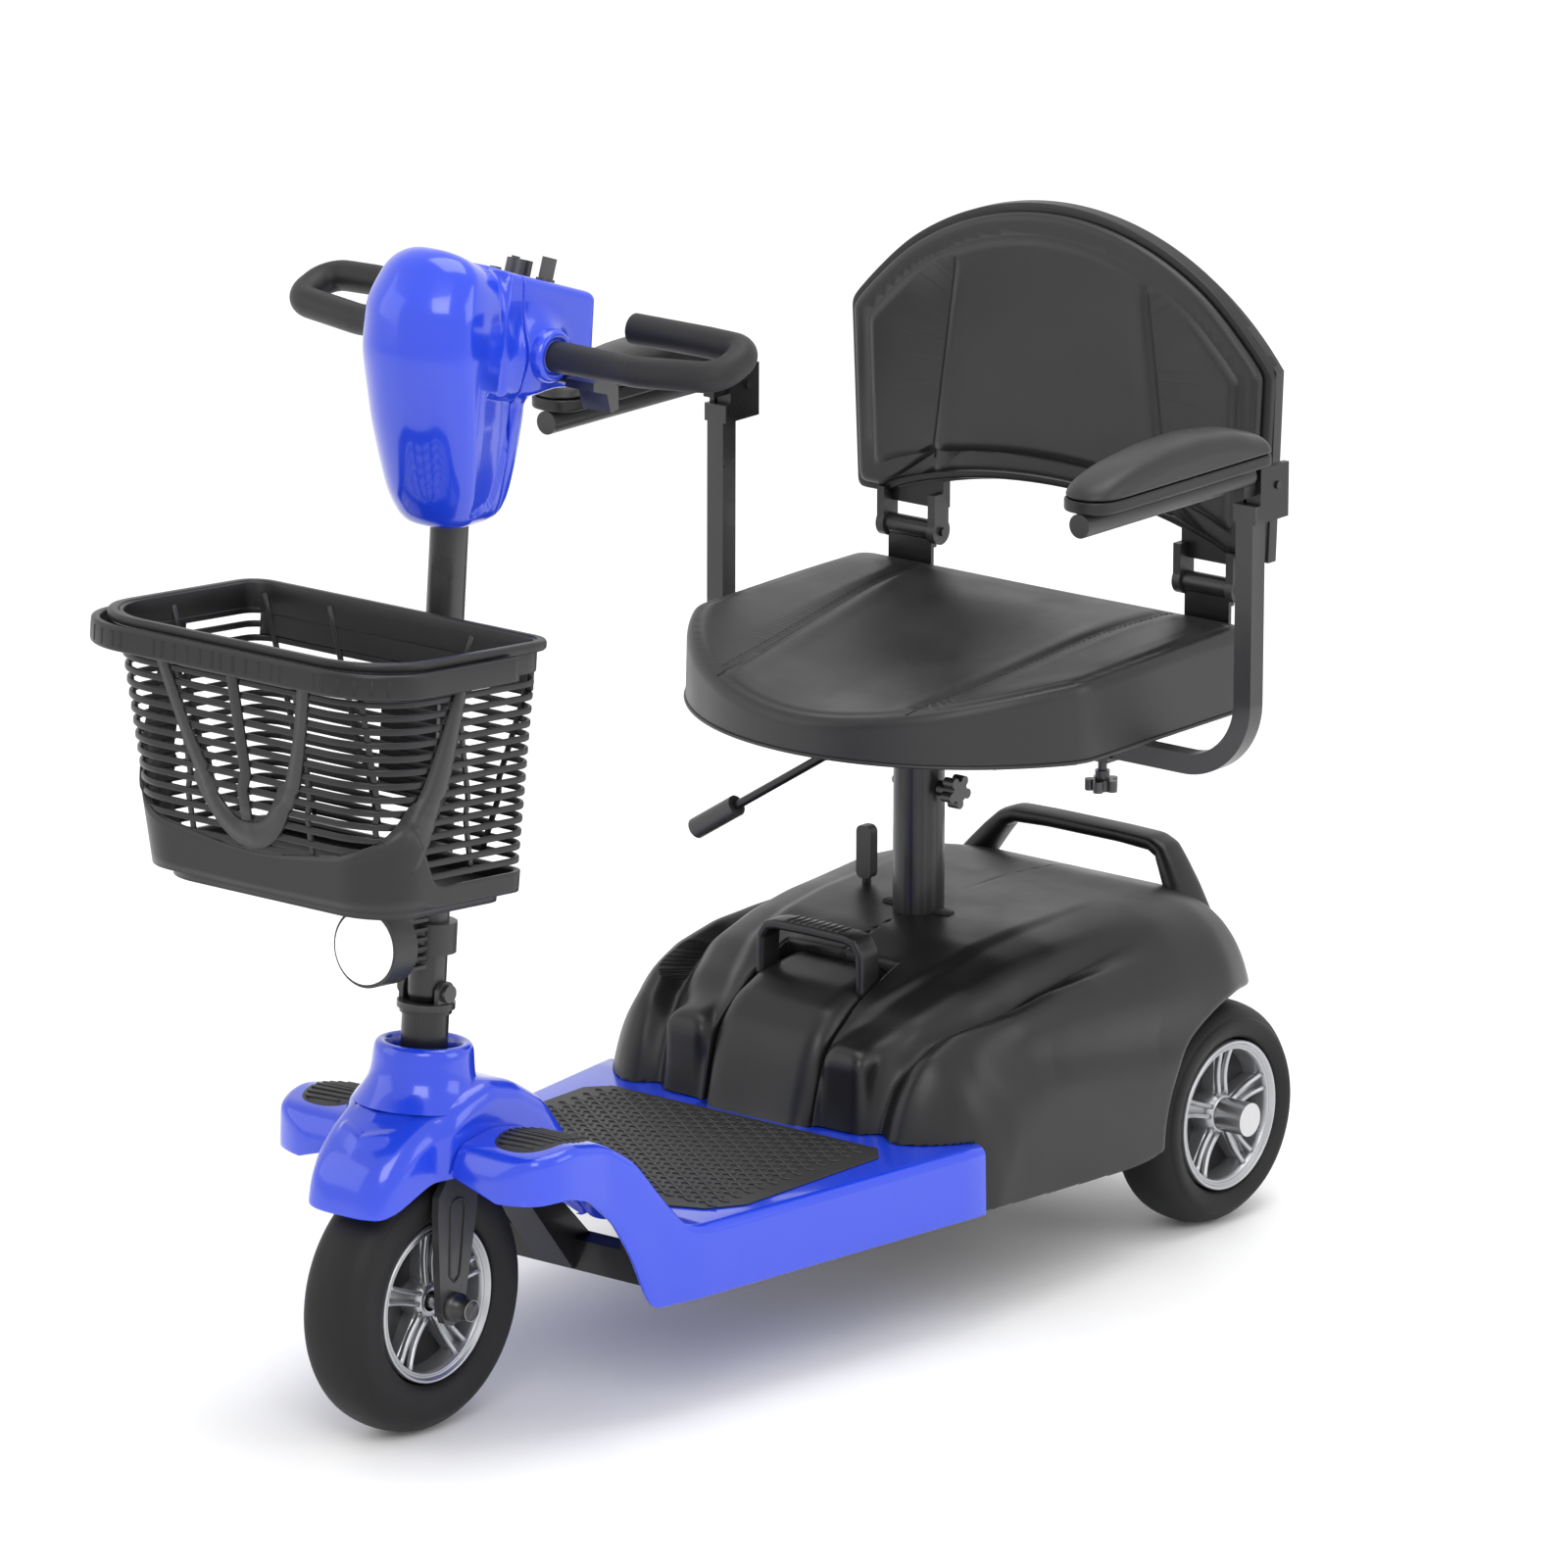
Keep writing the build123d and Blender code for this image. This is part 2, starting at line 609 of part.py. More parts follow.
def rail_way():
    """Way for the rails through the end walls of the deck and the rear body."""
    return block(-100, 100, 120, 150, 60, DECK_TOP - COVER_T)


def shroud_solid(grow):
    """Nose, neck base and arch that cover the head tube."""
    g = grow
    top = [(-467 - g, 236 + g), (-452, 256 + g), (-425, 276 + g), (-400, 292 + g), (-372, 303 + g),
           (-330, 303 + g), (-295, 292 + g), (-260, 268 + g), (-228, 228 + g), (-208, 190 + g), (-200, 165.3)]
    bottom = [(-250, 165.3), (-270, 200), (-300, 217), (-372, 228), (-405, 228), (-445, 208), (-467 - g, 204)]
    if grow < 0:
        bottom = [(-206, 120), (-467 - g, 120)]
        top[-1] = (-206, 165.3)
    body = side_prism(top + bottom, -80, 80)
    half = [(24, -467 - g), (38, -462 - g), (44 + g, -448), (50 + g, -396), (SHROUD_HALF + g, -386),
            (SHROUD_HALF + g, -190)]
    return body & plan_prism(mirrored(half), 90, 360)


def front_shroud():
    """Nose cover with a round neck, a shell in the body colour."""
    neck = COLUMN * (Pos(0, 0, 195) * Cylinder(42, 48))
    room = COLUMN * (Pos(0, 0, 160) * Cylinder(30, 130))
    cavity = COLUMN * (Pos(0, 0, 180) * Cylinder(38, 66))
    body = (shroud_solid(0) + neck) - shroud_solid(-3.5) - room - cavity
    return body


def floor_mat():
    """Ribbed rubber mat on the deck, with chamfered rear corners."""
    points = mirrored([(118, -160), (158, -130), (160, 30), (140, 62)])
    body = plan_prism(points, DECK_TOP, DECK_TOP + 2.5)
    for i in range(14):
        y = -142 + 14 * i
        body = body + block(-132, 132, y - 2.5, y + 2.5, DECK_TOP + 2.4, DECK_TOP + 4)
    cut = side_prism([(-230, 150), (-197, 150), (-197, 300), (-230, 300)], -SHROUD_HALF - 1, SHROUD_HALF + 1)
    return body - cut


def toe_pads():
    """Two ribbed rubber pads let into the foot lobes."""
    outline = [(-376, 261.2), (-340, 264.3), (-306, 258.4), (-306, 260.8), (-340, 266.6), (-376, 263.6)]
    pad = side_prism(outline, 74, 138) - (deck_profile(0) & plan_prism(deck_outline(0), 60, 320))
    return [pad, flip(pad)]


def body_solid(grow):
    """Outside of the rear body: side outline, plan and end outline cut from one block."""
    g = grow
    side = [(78 - g, 165.2), (84 - g, 200), (105 - g, 235 + g), (140, 262 + g), (190, 283 + g),
            (250, 296 + g), (307, 301 + g), (430, 303 + g), (500, 295 + g), (540, 284 + g),
            (580 + g, 262 + g), (600 + g, 225), (598 + g, 190), (590 + g, 172)]
    under = [(470, 120), (356, 92), (133.3, 104), (133.3, 165.2)]
    if grow < 0:
        under = [(590 + g, 60), (133.3 - g, 60), (133.3 - g, 165.2 + g), (78 - g, 165.2 + g)]
        side = side[1:]
    body = side_prism(side + under, -230, 230)
    plan = [(0, 78 - g), (60, 78 - g), (115, 100 - g), (160, 93 - g), (200 + g, 106 - g), (209 + g, 125),
            (207 + g, 400), (203 + g, 500), (185 + g, 560), (130, 595 + g), (0, 604 + g)]
    outline = plan + [(-x, y) for x, y in reversed(plan[1:-1])]
    body = body & plan_prism(outline, 40, 400)
    end = [(209 + g, 40), (209 + g, 190), (200 + g, 232), (178 + g, 266 + g), (140, 288 + g), (90, 299 + g),
           (0, 306 + g)]
    arch = end + [(-x, z) for x, z in reversed(end[:-1])]
    face = make_face(Polyline(*[(x, 0, z) for x, z in arch], close=True))
    return body & Pos(0, 60, 0) * extrude(face, 600, dir=(0, 1, 0))


def rear_body_cover():
    """Rear body: a shell open below, with wheel arches, the battery bay and the post hole."""
    body = body_solid(0) - body_solid(-COVER_T)
    for side in (1, -1):
        x0, x1 = sorted((side * 115, side * 240))
        arch = rod((x0, REAR_Y, REAR_R), (x1, REAR_Y, REAR_R), 113)
        body = body - arch - block(x0, x1, REAR_Y, 640, 40, 140)
    body = body - block(-BATTERY_HALF - 1.3, BATTERY_HALF + 1.3, 60, 201, 60, 420)
    body = body - rod((0, SEAT_Y, 250), (0, SEAT_Y, 340), POST_R + 1)
    body = body - block(-34, 34, SEAT_Y - 6, SEAT_Y + 6, 250, 340) - rail_way()
    lever_x = FREEWHEEL_X
    return body - block(lever_x - 10, lever_x + 10, FREEWHEEL_Y - 18, FREEWHEEL_Y + 40, 250, 340)


def rear_handle():
    """Grab handle that bridges the rear of the body."""
    outline = [(-114, 282), (-80, 318), (-70, 325), (70, 325), (80, 318), (114, 282), (90, 282), (70, 303),
               (62, 307), (-62, 307), (-70, 303), (-90, 282)]
    face = make_face(Polyline(*[(x, 0, z) for x, z in outline], close=True))
    body = Pos(0, 540, 0) * extrude(face, 26, dir=(0, 1, 0))
    foot = block(84, 114, 536, 570, 270, 284)
    return (body + foot + flip(foot)) - body_solid(0)


# ---------------------------------------------------------------- seat
def seat_post():
    """Sliding inner post with a slot for the clamp bolt."""
    body = tube((0, SEAT_Y, 310), (0, SEAT_Y, 456), 19.6 - RUN, 15.5)
    slot = block(-30, 30, SEAT_Y - 4.3, SEAT_Y + 4.3, KNOB_Z - SEAT_RAISE - 5, KNOB_Z + 5)
    return body - slot


def swivel_plate():
    """Turntable plate and spindle on top of the post."""
    return rod((0, SEAT_Y, 456), (0, SEAT_Y, 462), 55) + rod((0, SEAT_Y, 461), (0, SEAT_Y, 472), 10)


def seat_outline(grow):
    """Plan of the seat: straight back and sides, a round front."""
    w = SEAT_HALF + grow
    front = SEAT_FRONT_Y - grow
    back = SEAT_BACK_Y + grow
    corner = SEAT_FRONT_Y + 128
    arc = ThreePointArc((-w, corner), (0, front), (w, corner))
    sides = Polyline((w, corner), (w, back - 8), (w - 8, back), (8 - w, back), (-w, back - 8), (-w, corner))
    return make_face([arc, sides])


def seat_pan():
    """Moulded seat base with the turntable hub."""
    plate = Pos(0, 0, 476) * extrude(seat_outline(-6), 8)
    hub = rod((0, SEAT_Y, 462.3), (0, SEAT_Y, 476.5), 30) - rod((0, SEAT_Y, 455), (0, SEAT_Y, 473), 10 + RUN)
    ribs = block(-150, 150, 220, 226, 468, 477) + block(-36, 36, 262, 270, 468, 477)
    hangers = block(-150, -138, 378, 406, 467.1, 477) + block(138, 150, 378, 406, 467.1, 477)
    return plate + hub + ribs + hangers


def seat_cushion():
    """Seat pad: saddle shaped top, lower at the front."""
    body = Pos(0, 0, SEAT_BOTTOM) * extrude(seat_outline(0), 90)
    top = [(100, 505), (126, 513), (170, 526), (230, 538), (300, 544), (420, 548), (520, 552)]
    limit = side_smooth(top, [(520, 440), (100, 440)], -240, 240)
    pan_room = Pos(0, 0, 470) * extrude(seat_outline(-5), 14.2)
    return (body & limit) - pan_room


def armrest_receiver():
    """Square tube under the seat that takes both armrest posts."""
    place = Pos(0, ARM_RUN_Y, ARM_RUN_Z)
    body = place * Box(300, ARM_BAR + 8, ARM_BAR + 8) - place * Box(320, ARM_BAR + 2 * GAP, ARM_BAR + 2 * GAP)
    for x in (ARM_KNOB_X, -ARM_KNOB_X):
        body = body - rod((x, ARM_RUN_Y, 435), (x, ARM_RUN_Y, 446), 4 + RUN)
    return body


def backrest_brackets():
    """Two upright brackets at the back of the seat with the hinge pins."""
    parts = []
    for side in (1, -1):
        cx = side * 164
        plate = block(cx - 24, cx + 24, SEAT_BACK_Y + 1, SEAT_BACK_Y + 5, 470, BACK_PIVOT_Z - 12)
        foot = block(cx - 24, cx + 24, 440, SEAT_BACK_Y + 5, 470, 474.6)
        barrel = block(cx - 24, cx + 24, SEAT_BACK_Y + 1, SEAT_BACK_Y + 9, BACK_PIVOT_Z - 16, BACK_PIVOT_Z)
        knuckle = rod((cx - 24, BACK_PIVOT_Y, BACK_PIVOT_Z), (cx + 24, BACK_PIVOT_Y, BACK_PIVOT_Z), 9)
        pin = rod((cx - 36, BACK_PIVOT_Y, BACK_PIVOT_Z), (cx + 36, BACK_PIVOT_Y, BACK_PIVOT_Z), 4)
        parts.append(plate + foot + barrel + knuckle + pin)
    return parts


def back_outline(inset, z_shift=0.0):
    """Front view of the backrest: straight sides, arched top, raised arch below."""
    w = BACK_HALF - inset
    shoulder = 776 - inset * 0.6
    top = 889 - inset
    base = 606 + inset
    lift = 640 + inset * 0.4
    upper = ThreePointArc((w, shoulder), (0, top), (-w, shoulder))
    left = Polyline((-w, shoulder), (-w + 6, base), (-w + 48, base))
    lower = ThreePointArc((-w + 48, base), (0, lift), (w - 48, base))
    right = Polyline((w - 48, base), (w - 6, base), (w, shoulder))
    flat = make_face([upper, left, lower, right])
    return Rot(90, 0, 0) * flat


def backrest_shell():
    """Moulded back shell with the hinge ears."""
    rim_ = Pos(0, BACK_REAR_Y, 0) * extrude(back_outline(0), 11)
    body = rim_ + Pos(0, BACK_REAR_Y - 11, 0) * extrude(back_outline(6), 6)
    for side in (1, -1):
        cx = side * 164
        for dx in (-28.5, 28.5):
            x = cx + dx
            ear = block(x - 4, x + 4, BACK_PIVOT_Y - 10, BACK_PIVOT_Y + 10, BACK_PIVOT_Z, 612)
            ear = ear + rod((x - 4, BACK_PIVOT_Y, BACK_PIVOT_Z), (x + 4, BACK_PIVOT_Y, BACK_PIVOT_Z), 12)
            body = body + ear
        spine = block(cx - 32.5, cx + 32.5, BACK_PIVOT_Y + 2, BACK_PIVOT_Y + 12, 598, 640)
        body = body + spine
        ends = [(cx - 50, BACK_PIVOT_Y, BACK_PIVOT_Z), (cx + 50, BACK_PIVOT_Y, BACK_PIVOT_Z)]
        body = body - rod(*ends, 4 + RUN)
    return body


def backrest_cushion():
    """Backrest pad on the front of the shell."""
    pad = Pos(0, BACK_REAR_Y - 17.1, 0) * extrude(back_outline(9), BACK_REAR_Y - 17.1 - BACK_FRONT_Y)
    for side in (1, -1):
        cx = side * 164
        pad = pad - block(cx - 34, cx + 34, 480, 520, 560, 614)
    return pad


# ---------------------------------------------------------------- armrests (left side; the right mirrors it)
def armrest_post():
    """J-shaped square post with the fork that holds the arm tube."""
    half = ARM_BAR / 2
    corners = [(88, ARM_RUN_Y, ARM_RUN_Z), (ARM_X, ARM_RUN_Y, ARM_RUN_Z), (ARM_X, ARM_RUN_Y, 690)]
    path = FilletPolyline(*corners, radius=62)
    section = Plane(origin=path @ 0, z_dir=path % 0) * Rectangle(ARM_BAR, ARM_BAR)
    body = sweep(section, path=path)
    fork_ = block(ARM_X - 12, ARM_X + 12, ARM_PIVOT_Y - 24, ARM_PIVOT_Y + 16, 684, 724)
    gap = block(ARM_X - 6.3, ARM_X + 6.3, ARM_PIVOT_Y - 40, ARM_PIVOT_Y + 20, 692, 740)
    bridge = block(ARM_X - 12, ARM_X + 12, ARM_RUN_Y - half, ARM_PIVOT_Y + 16, 676, 692)
    body = body + fork_ + bridge - gap
    pin = rod((ARM_X - 14, ARM_PIVOT_Y, ARM_PIVOT_Z), (ARM_X + 14, ARM_PIVOT_Y, ARM_PIVOT_Z), 3.5)
    return body + pin


def armrest_tube():
    """Arm tube with an end cap and a flat hinge tab."""
    body = rod((ARM_X, ARM_FRONT_Y, ARM_TUBE_Z), (ARM_X, ARM_PIVOT_Y - 28, ARM_TUBE_Z), ARM_TUBE_R)
    tab = block(ARM_X - 6, ARM_X + 6, ARM_PIVOT_Y - 40, ARM_PIVOT_Y, ARM_PIVOT_Z - 6, ARM_PIVOT_Z + 14)
    tab = tab + rod((ARM_X - 6, ARM_PIVOT_Y, ARM_PIVOT_Z), (ARM_X + 6, ARM_PIVOT_Y, ARM_PIVOT_Z), 9)
    stop = block(ARM_X - 5, ARM_X + 5, ARM_PIVOT_Y - 22, ARM_PIVOT_Y - 12, 692.3, 706)
    body = body + tab + stop
    hole = rod((ARM_X - 20, ARM_PIVOT_Y, ARM_PIVOT_Z), (ARM_X + 20, ARM_PIVOT_Y, ARM_PIVOT_Z), 3.5 + RUN)
    return body - hole


def armrest_pad():
    """Armrest pad with its base, on top of the arm tube."""
    top = [(146, 738), (158, 752), (190, 764), (240, 771), (300, 772), (350, 768), (384, 758)]
    z = ARM_TUBE_Z + ARM_TUBE_R + 0.1
    body = side_smooth(top, [(390, z), (150, z)], ARM_X - 27, ARM_X + 27)
    return body


# ---------------------------------------------------------------- swivel lever
def swivel_lever():
    """Seat swivel latch: bent rod under the seat with a rubber grip."""
    shaft = rod((-12, 201, 461), (-150, 201, 374), 4) + rod((-12, 191, 461), (-12, 212, 461), 6)
    shaft = shaft - rod((-12, 180, 461), (-12, 220, 461), 3)
    grip_ = rod((-118, 201, 394.2), (-163, 201, 365.8), 9.5) - shaft
    return shaft, grip_


# ---------------------------------------------------------------- write every piece
def main():
    os.makedirs("parts", exist_ok=True)
    write("main_frame", main_frame())
    write("headset_bearings", *headset_bearings())
    write("deck_cover", deck_cover())
    write("front_shroud", front_shroud())
    write("floor_mat", floor_mat())
    write("toe_pads", *toe_pads())
    write("rear_body_cover", rear_body_cover())
    write("rear_handle", rear_handle())
    write("transaxle_housing", transaxle_housing())
    write("drive_motor", drive_motor())
    write("controller_box", controller_box())
    write("seat_post_socket", seat_post_socket())
    write("battery_case", battery_case())
    write("battery_handle", battery_handle())
    write("freewheel_lever", *freewheel_lever())
    for name, piece in zip(("rear_tyre", "rear_rim", "rear_axle"), rear_wheel()):
        write(f"{name}_left", piece)
        write(f"{name}_right", flip(piece))
    rubber, wheel = front_wheel()
    write("front_tyre", rubber)
    write("front_rim", wheel)
    write("front_axle", front_axle())
    write("fork", fork())
    write("steerer_tube", steerer())
    write("tiller_pin", tiller_pin())
    write("tiller_tube", tiller_tube())
    write("headlight_housing", headlight_housing())
    write("headlight_lens", headlight_lens())
    write("basket_bracket", basket_bracket())
    write("basket", basket())
    write("basket_handle", basket_handle())
    write("head_front_cover", head_front_cover())
    write("head_rear_cover", head_rear_cover())
    write("handlebar", handlebar())
    write("grip_left", grip())
    write("grip_right", flip(grip()))
    write("throttle_lever", throttle_lever())
    write("speed_dial", speed_dial())
    write("key", key())
    write("horn_button", horn_button())
    write("seat_post", seat_post())
    write("swivel_plate", swivel_plate())
    write("seat_pan", seat_pan())
    write("seat_cushion", seat_cushion())
    write("armrest_receiver", armrest_receiver())
    write("swivel_lever", *swivel_lever())
    write("backrest_brackets", *backrest_brackets())
    write("backrest_shell", backrest_shell())
    write("backrest_cushion", backrest_cushion())
    write("post_knob", post_knob())
    for side, turn in (("left", lambda s: s), ("right", flip)):
        write(f"armrest_post_{side}", turn(armrest_post()))
        write(f"armrest_tube_{side}", turn(armrest_tube()))
        write(f"armrest_pad_{side}", turn(armrest_pad()))
        write(f"arm_knob_{side}", turn(arm_knob()))


main()
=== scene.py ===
"""Mobility scooter: finished meshes, materials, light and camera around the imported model.

Numbers for shapes are millimetres in the row frame, or along the steering axis (the column frame) where a
function says so. Meshes are written in metres.
"""
import json
import math

import bmesh
import bpy
import numpy as np
from mathutils import Matrix, Vector


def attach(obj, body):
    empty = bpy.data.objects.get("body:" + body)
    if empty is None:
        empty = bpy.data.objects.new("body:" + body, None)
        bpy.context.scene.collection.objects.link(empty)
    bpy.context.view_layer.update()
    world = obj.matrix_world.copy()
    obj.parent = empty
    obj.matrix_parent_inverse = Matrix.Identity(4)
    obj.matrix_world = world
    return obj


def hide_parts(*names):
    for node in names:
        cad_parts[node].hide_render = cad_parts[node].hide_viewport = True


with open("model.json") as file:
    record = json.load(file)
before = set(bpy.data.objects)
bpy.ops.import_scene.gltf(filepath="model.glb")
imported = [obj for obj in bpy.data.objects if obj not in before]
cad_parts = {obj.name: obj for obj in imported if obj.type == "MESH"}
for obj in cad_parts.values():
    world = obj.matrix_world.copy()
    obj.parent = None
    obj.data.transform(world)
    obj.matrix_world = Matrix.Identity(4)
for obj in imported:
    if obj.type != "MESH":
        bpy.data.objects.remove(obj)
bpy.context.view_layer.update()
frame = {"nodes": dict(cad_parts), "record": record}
NODES = frame["nodes"]
MM = 0.001

# ---------------------------------------------------------------- driving values
LEAN = math.radians(4.65)
AXLE_Y, AXLE_Z = -374.0, 114.0            # front axle, where the steering axis starts
REAR_AXLE = (510.0, 100.0)
SEAT_HALF = 217.0
BATTERY_HALF = 59.0
ARM_X = 290.5
BLUE = (0.010, 0.045, 0.60, 1)
GRIP_AXIS = (49.5, 797.6)                 # where the handlebar leaves the head, in the column frame
SIDES = (("left", 1), ("right", -1))
NET = 150           # faces along one side of a large skin's net


def column(p):
    """A point of the column frame, of numbers or of arrays, in the row frame."""
    x, y, h = p
    return x, AXLE_Y + math.cos(LEAN) * y + math.sin(LEAN) * h, AXLE_Z + math.cos(LEAN) * h - math.sin(LEAN) * y


def column_direction(nx, ny):
    """A level direction of the column frame in the row frame."""
    return nx, math.cos(LEAN) * ny, -math.sin(LEAN) * ny


# ---------------------------------------------------------------- materials
def ramp(tree, source, low, high, at=(0.35, 0.65)):
    """Maps a grey value to a range by a Map Range node."""
    node = tree.nodes.new("ShaderNodeMapRange")
    node.inputs["From Min"].default_value = at[0]
    node.inputs["From Max"].default_value = at[1]
    node.inputs["To Min"].default_value = low
    node.inputs["To Max"].default_value = high
    tree.links.new(source, node.inputs["Value"])
    return node.outputs["Result"]


def material(name, color, rough=(0.3, 0.4), grain=900.0, bump=0.1, metallic=0.0, coat=0.0, edge=0.0, mottle=0.12,
             pattern="noise", spec=0.5):
    """Procedural finish: mottled colour, uneven roughness, surface grain and a lighter colour on sharp convex
    edges.
    """
    mat = bpy.data.materials.new(name)
    mat.use_nodes = True
    tree = mat.node_tree
    shader = tree.nodes["Principled BSDF"]
    values = {"Metallic": metallic, "Coat Weight": coat, "Coat Roughness": 0.06, "Specular IOR Level": spec}
    for key, value in values.items():
        shader.inputs[key].default_value = value
    where = tree.nodes.new("ShaderNodeTexCoord").outputs["Object"]
    cloud = tree.nodes.new("ShaderNodeTexNoise")
    cloud.inputs["Scale"].default_value = 14.0
    cloud.inputs["Detail"].default_value = 6.0
    tree.links.new(where, cloud.inputs["Vector"])
    mix = tree.nodes.new("ShaderNodeMix")
    mix.data_type = "RGBA"
    mix.inputs["A"].default_value = tuple(c * (1 - mottle) for c in color[:3]) + (1,)
    mix.inputs["B"].default_value = tuple(min(1, c * (1 + mottle)) for c in color[:3]) + (1,)
    tree.links.new(cloud.outputs["Fac"], mix.inputs["Factor"])
    shade = mix.outputs["Result"]
    # lighter colour where the surface is sharply convex, found from its Pointiness
    if edge:
        geometry = tree.nodes.new("ShaderNodeNewGeometry")
        convex_edge_amount = ramp(tree, geometry.outputs["Pointiness"], 0.0, edge, (0.52, 0.62))
        convex_edge_mix = tree.nodes.new("ShaderNodeMix")
        convex_edge_mix.data_type = "RGBA"
        convex_edge_mix.inputs["B"].default_value = tuple(min(1, c * 1.5 + 0.06) for c in color[:3]) + (1,)
        tree.links.new(shade, convex_edge_mix.inputs["A"])
        tree.links.new(convex_edge_amount, convex_edge_mix.inputs["Factor"])
        shade = convex_edge_mix.outputs["Result"]
    tree.links.new(shade, shader.inputs["Base Color"])
    tree.links.new(ramp(tree, cloud.outputs["Fac"], rough[0], rough[1]), shader.inputs["Roughness"])
    if pattern == "leather":
        fine = tree.nodes.new("ShaderNodeTexVoronoi")
        fine.feature = "DISTANCE_TO_EDGE"
        out = "Distance"
    else:
        fine = tree.nodes.new("ShaderNodeTexNoise")
        fine.inputs["Detail"].default_value = 3.0
        out = "Fac"
    fine.inputs["Scale"].default_value = grain
    tree.links.new(where, fine.inputs["Vector"])
    relief = tree.nodes.new("ShaderNodeBump")
    relief.inputs["Strength"].default_value = bump
    relief.inputs["Distance"].default_value = 0.0004
    tree.links.new(fine.outputs[out], relief.inputs["Height"])
    tree.links.new(relief.outputs["Normal"], shader.inputs["Normal"])
    return mat


FINISHES = {                              # colour, roughness range, grain, bump, and what else differs
    "blue_plastic": (BLUE, (0.16, 0.24), 700, 0.03, dict(coat=0.55, edge=0.25, mottle=0.05)),
    "black_plastic": ((0.008, 0.008, 0.0085), (0.32, 0.42), 1500, 0.14, dict(edge=0.4, mottle=0.1, spec=0.4)),
    "frame_black": ((0.007, 0.007, 0.0075), (0.26, 0.36), 1100, 0.12, dict(coat=0.1, edge=0.5, spec=0.4)),
    "steel": ((0.50, 0.50, 0.51), (0.25, 0.38), 900, 0.1, dict(metallic=1.0, edge=0.3)),
    "rim_silver": ((0.42, 0.425, 0.44), (0.27, 0.36), 800, 0.06, dict(metallic=0.85, coat=0.2, edge=0.2)),
    "rim_dark": ((0.035, 0.035, 0.037), (0.40, 0.5), 900, 0.1, dict(metallic=0.4)),
    "tyre": ((0.008, 0.008, 0.0085), (0.50, 0.62), 1300, 0.3, dict(edge=0.3, spec=0.28)),
    "mat_rubber": ((0.012, 0.012, 0.013), (0.42, 0.55), 1200, 0.3, dict(edge=0.35)),
    "vinyl": ((0.011, 0.011, 0.0115), (0.33, 0.43), 1000, 0.3, dict(edge=0.2, pattern="leather")),
    "foam_grip": ((0.010, 0.010, 0.011), (0.45, 0.6), 1500, 0.35, dict(edge=0.2, spec=0.4)),
    "knob_black": ((0.011, 0.011, 0.012), (0.24, 0.34), 900, 0.08, dict(coat=0.2, edge=0.4)),
    "thread": ((0.006, 0.006, 0.0065), (0.6, 0.75), 2500, 0.5, {}),
}
MATS = {name: material(name, *values, **more) for name, (*values, more) in FINISHES.items()}


def lens_with_painted_glow():
    """Clear lens with a painted glow: a faint white emission standing in for a pale reflector behind it."""
    mat = material("lens_clear", (0.90, 0.92, 0.95), (0.04, 0.08), 300, 0.05, coat=0.4, mottle=0.02)
    shader = mat.node_tree.nodes["Principled BSDF"]
    shader.inputs["Transmission Weight"].default_value = 0.45
    # painted glow: a white emission makes the unlit lens look as bright as a reflector behind it
    shader.inputs["Emission Color"].default_value = (1, 1, 1, 1)
    shader.inputs["Emission Strength"].default_value = 0.35
    return mat


MATS["lens_clear"] = lens_with_painted_glow()


def finish_cad_nodes():
    """Gives every carried-over CAD node its slot's material and softened edges; key and pin have black heads."""
    for part in frame["record"]["subparts"]:
        node = NODES[part["node"]]
        node.data.materials.clear()
        black = part["node"] in ("key", "tiller_pin")
        node.data.materials.append(MATS["knob_black" if black else part["material_slot"]])
        modify(node, "BEVEL", width=0.0009, segments=2, limit_method="ANGLE", angle_limit=math.radians(38))


# ---------------------------------------------------------------- mesh tools
def to_object(name, verts, faces, slot, body, replaces=()):
    """A mesh object in metres from millimetre vertices, on a body, with its slot's material."""
    mesh = bpy.data.meshes.new(name)
    mesh.from_pydata([tuple(c * MM for c in v) for v in verts], [], faces)
    mesh.validate()
    obj = bpy.data.objects.new(name, mesh)
    bpy.context.scene.collection.objects.link(obj)
    mesh.shade_smooth()
    mesh.materials.append(MATS[slot])
    if replaces:
        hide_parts(*replaces)
    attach(obj, body)
    return obj


def modify(obj, kind, **values):
    """Adds a modifier and sets its values."""
    mod = obj.modifiers.new(kind.lower(), kind)
    for key, value in values.items():
        setattr(mod, key, value)
    return mod


def smax(a, b, k):
    """Smooth maximum: a rounded intersection of two implicit shapes."""
    h = np.clip(0.5 + 0.5 * (a - b) / k, 0, 1)
    return b * (1 - h) + a * h + k * h * (1 - h)


def smin(a, b, k):
    """Smooth minimum: a blended union of two implicit shapes."""
    return -smax(-a, -b, k)


def line(points, soften):
    """Smoothed piecewise line through (at, value) points, as a function of an array."""
    xs = np.array([p[0] for p in points], float)
    ys = np.array([p[1] for p in points], float)
    grid = np.linspace(xs[0] - 3 * soften, xs[-1] + 3 * soften, 1201)
    step = grid[1] - grid[0]
    reach = max(1, int(3 * soften / step))
    kernel = np.exp(-0.5 * (np.arange(-reach, reach + 1) * step / soften) ** 2)
    kernel = kernel / kernel.sum()
    flat = np.pad(np.interp(grid, xs, ys), reach, mode="edge")
    smooth = np.convolve(flat, kernel, "valid")
    return lambda v: np.interp(v, grid, smooth)


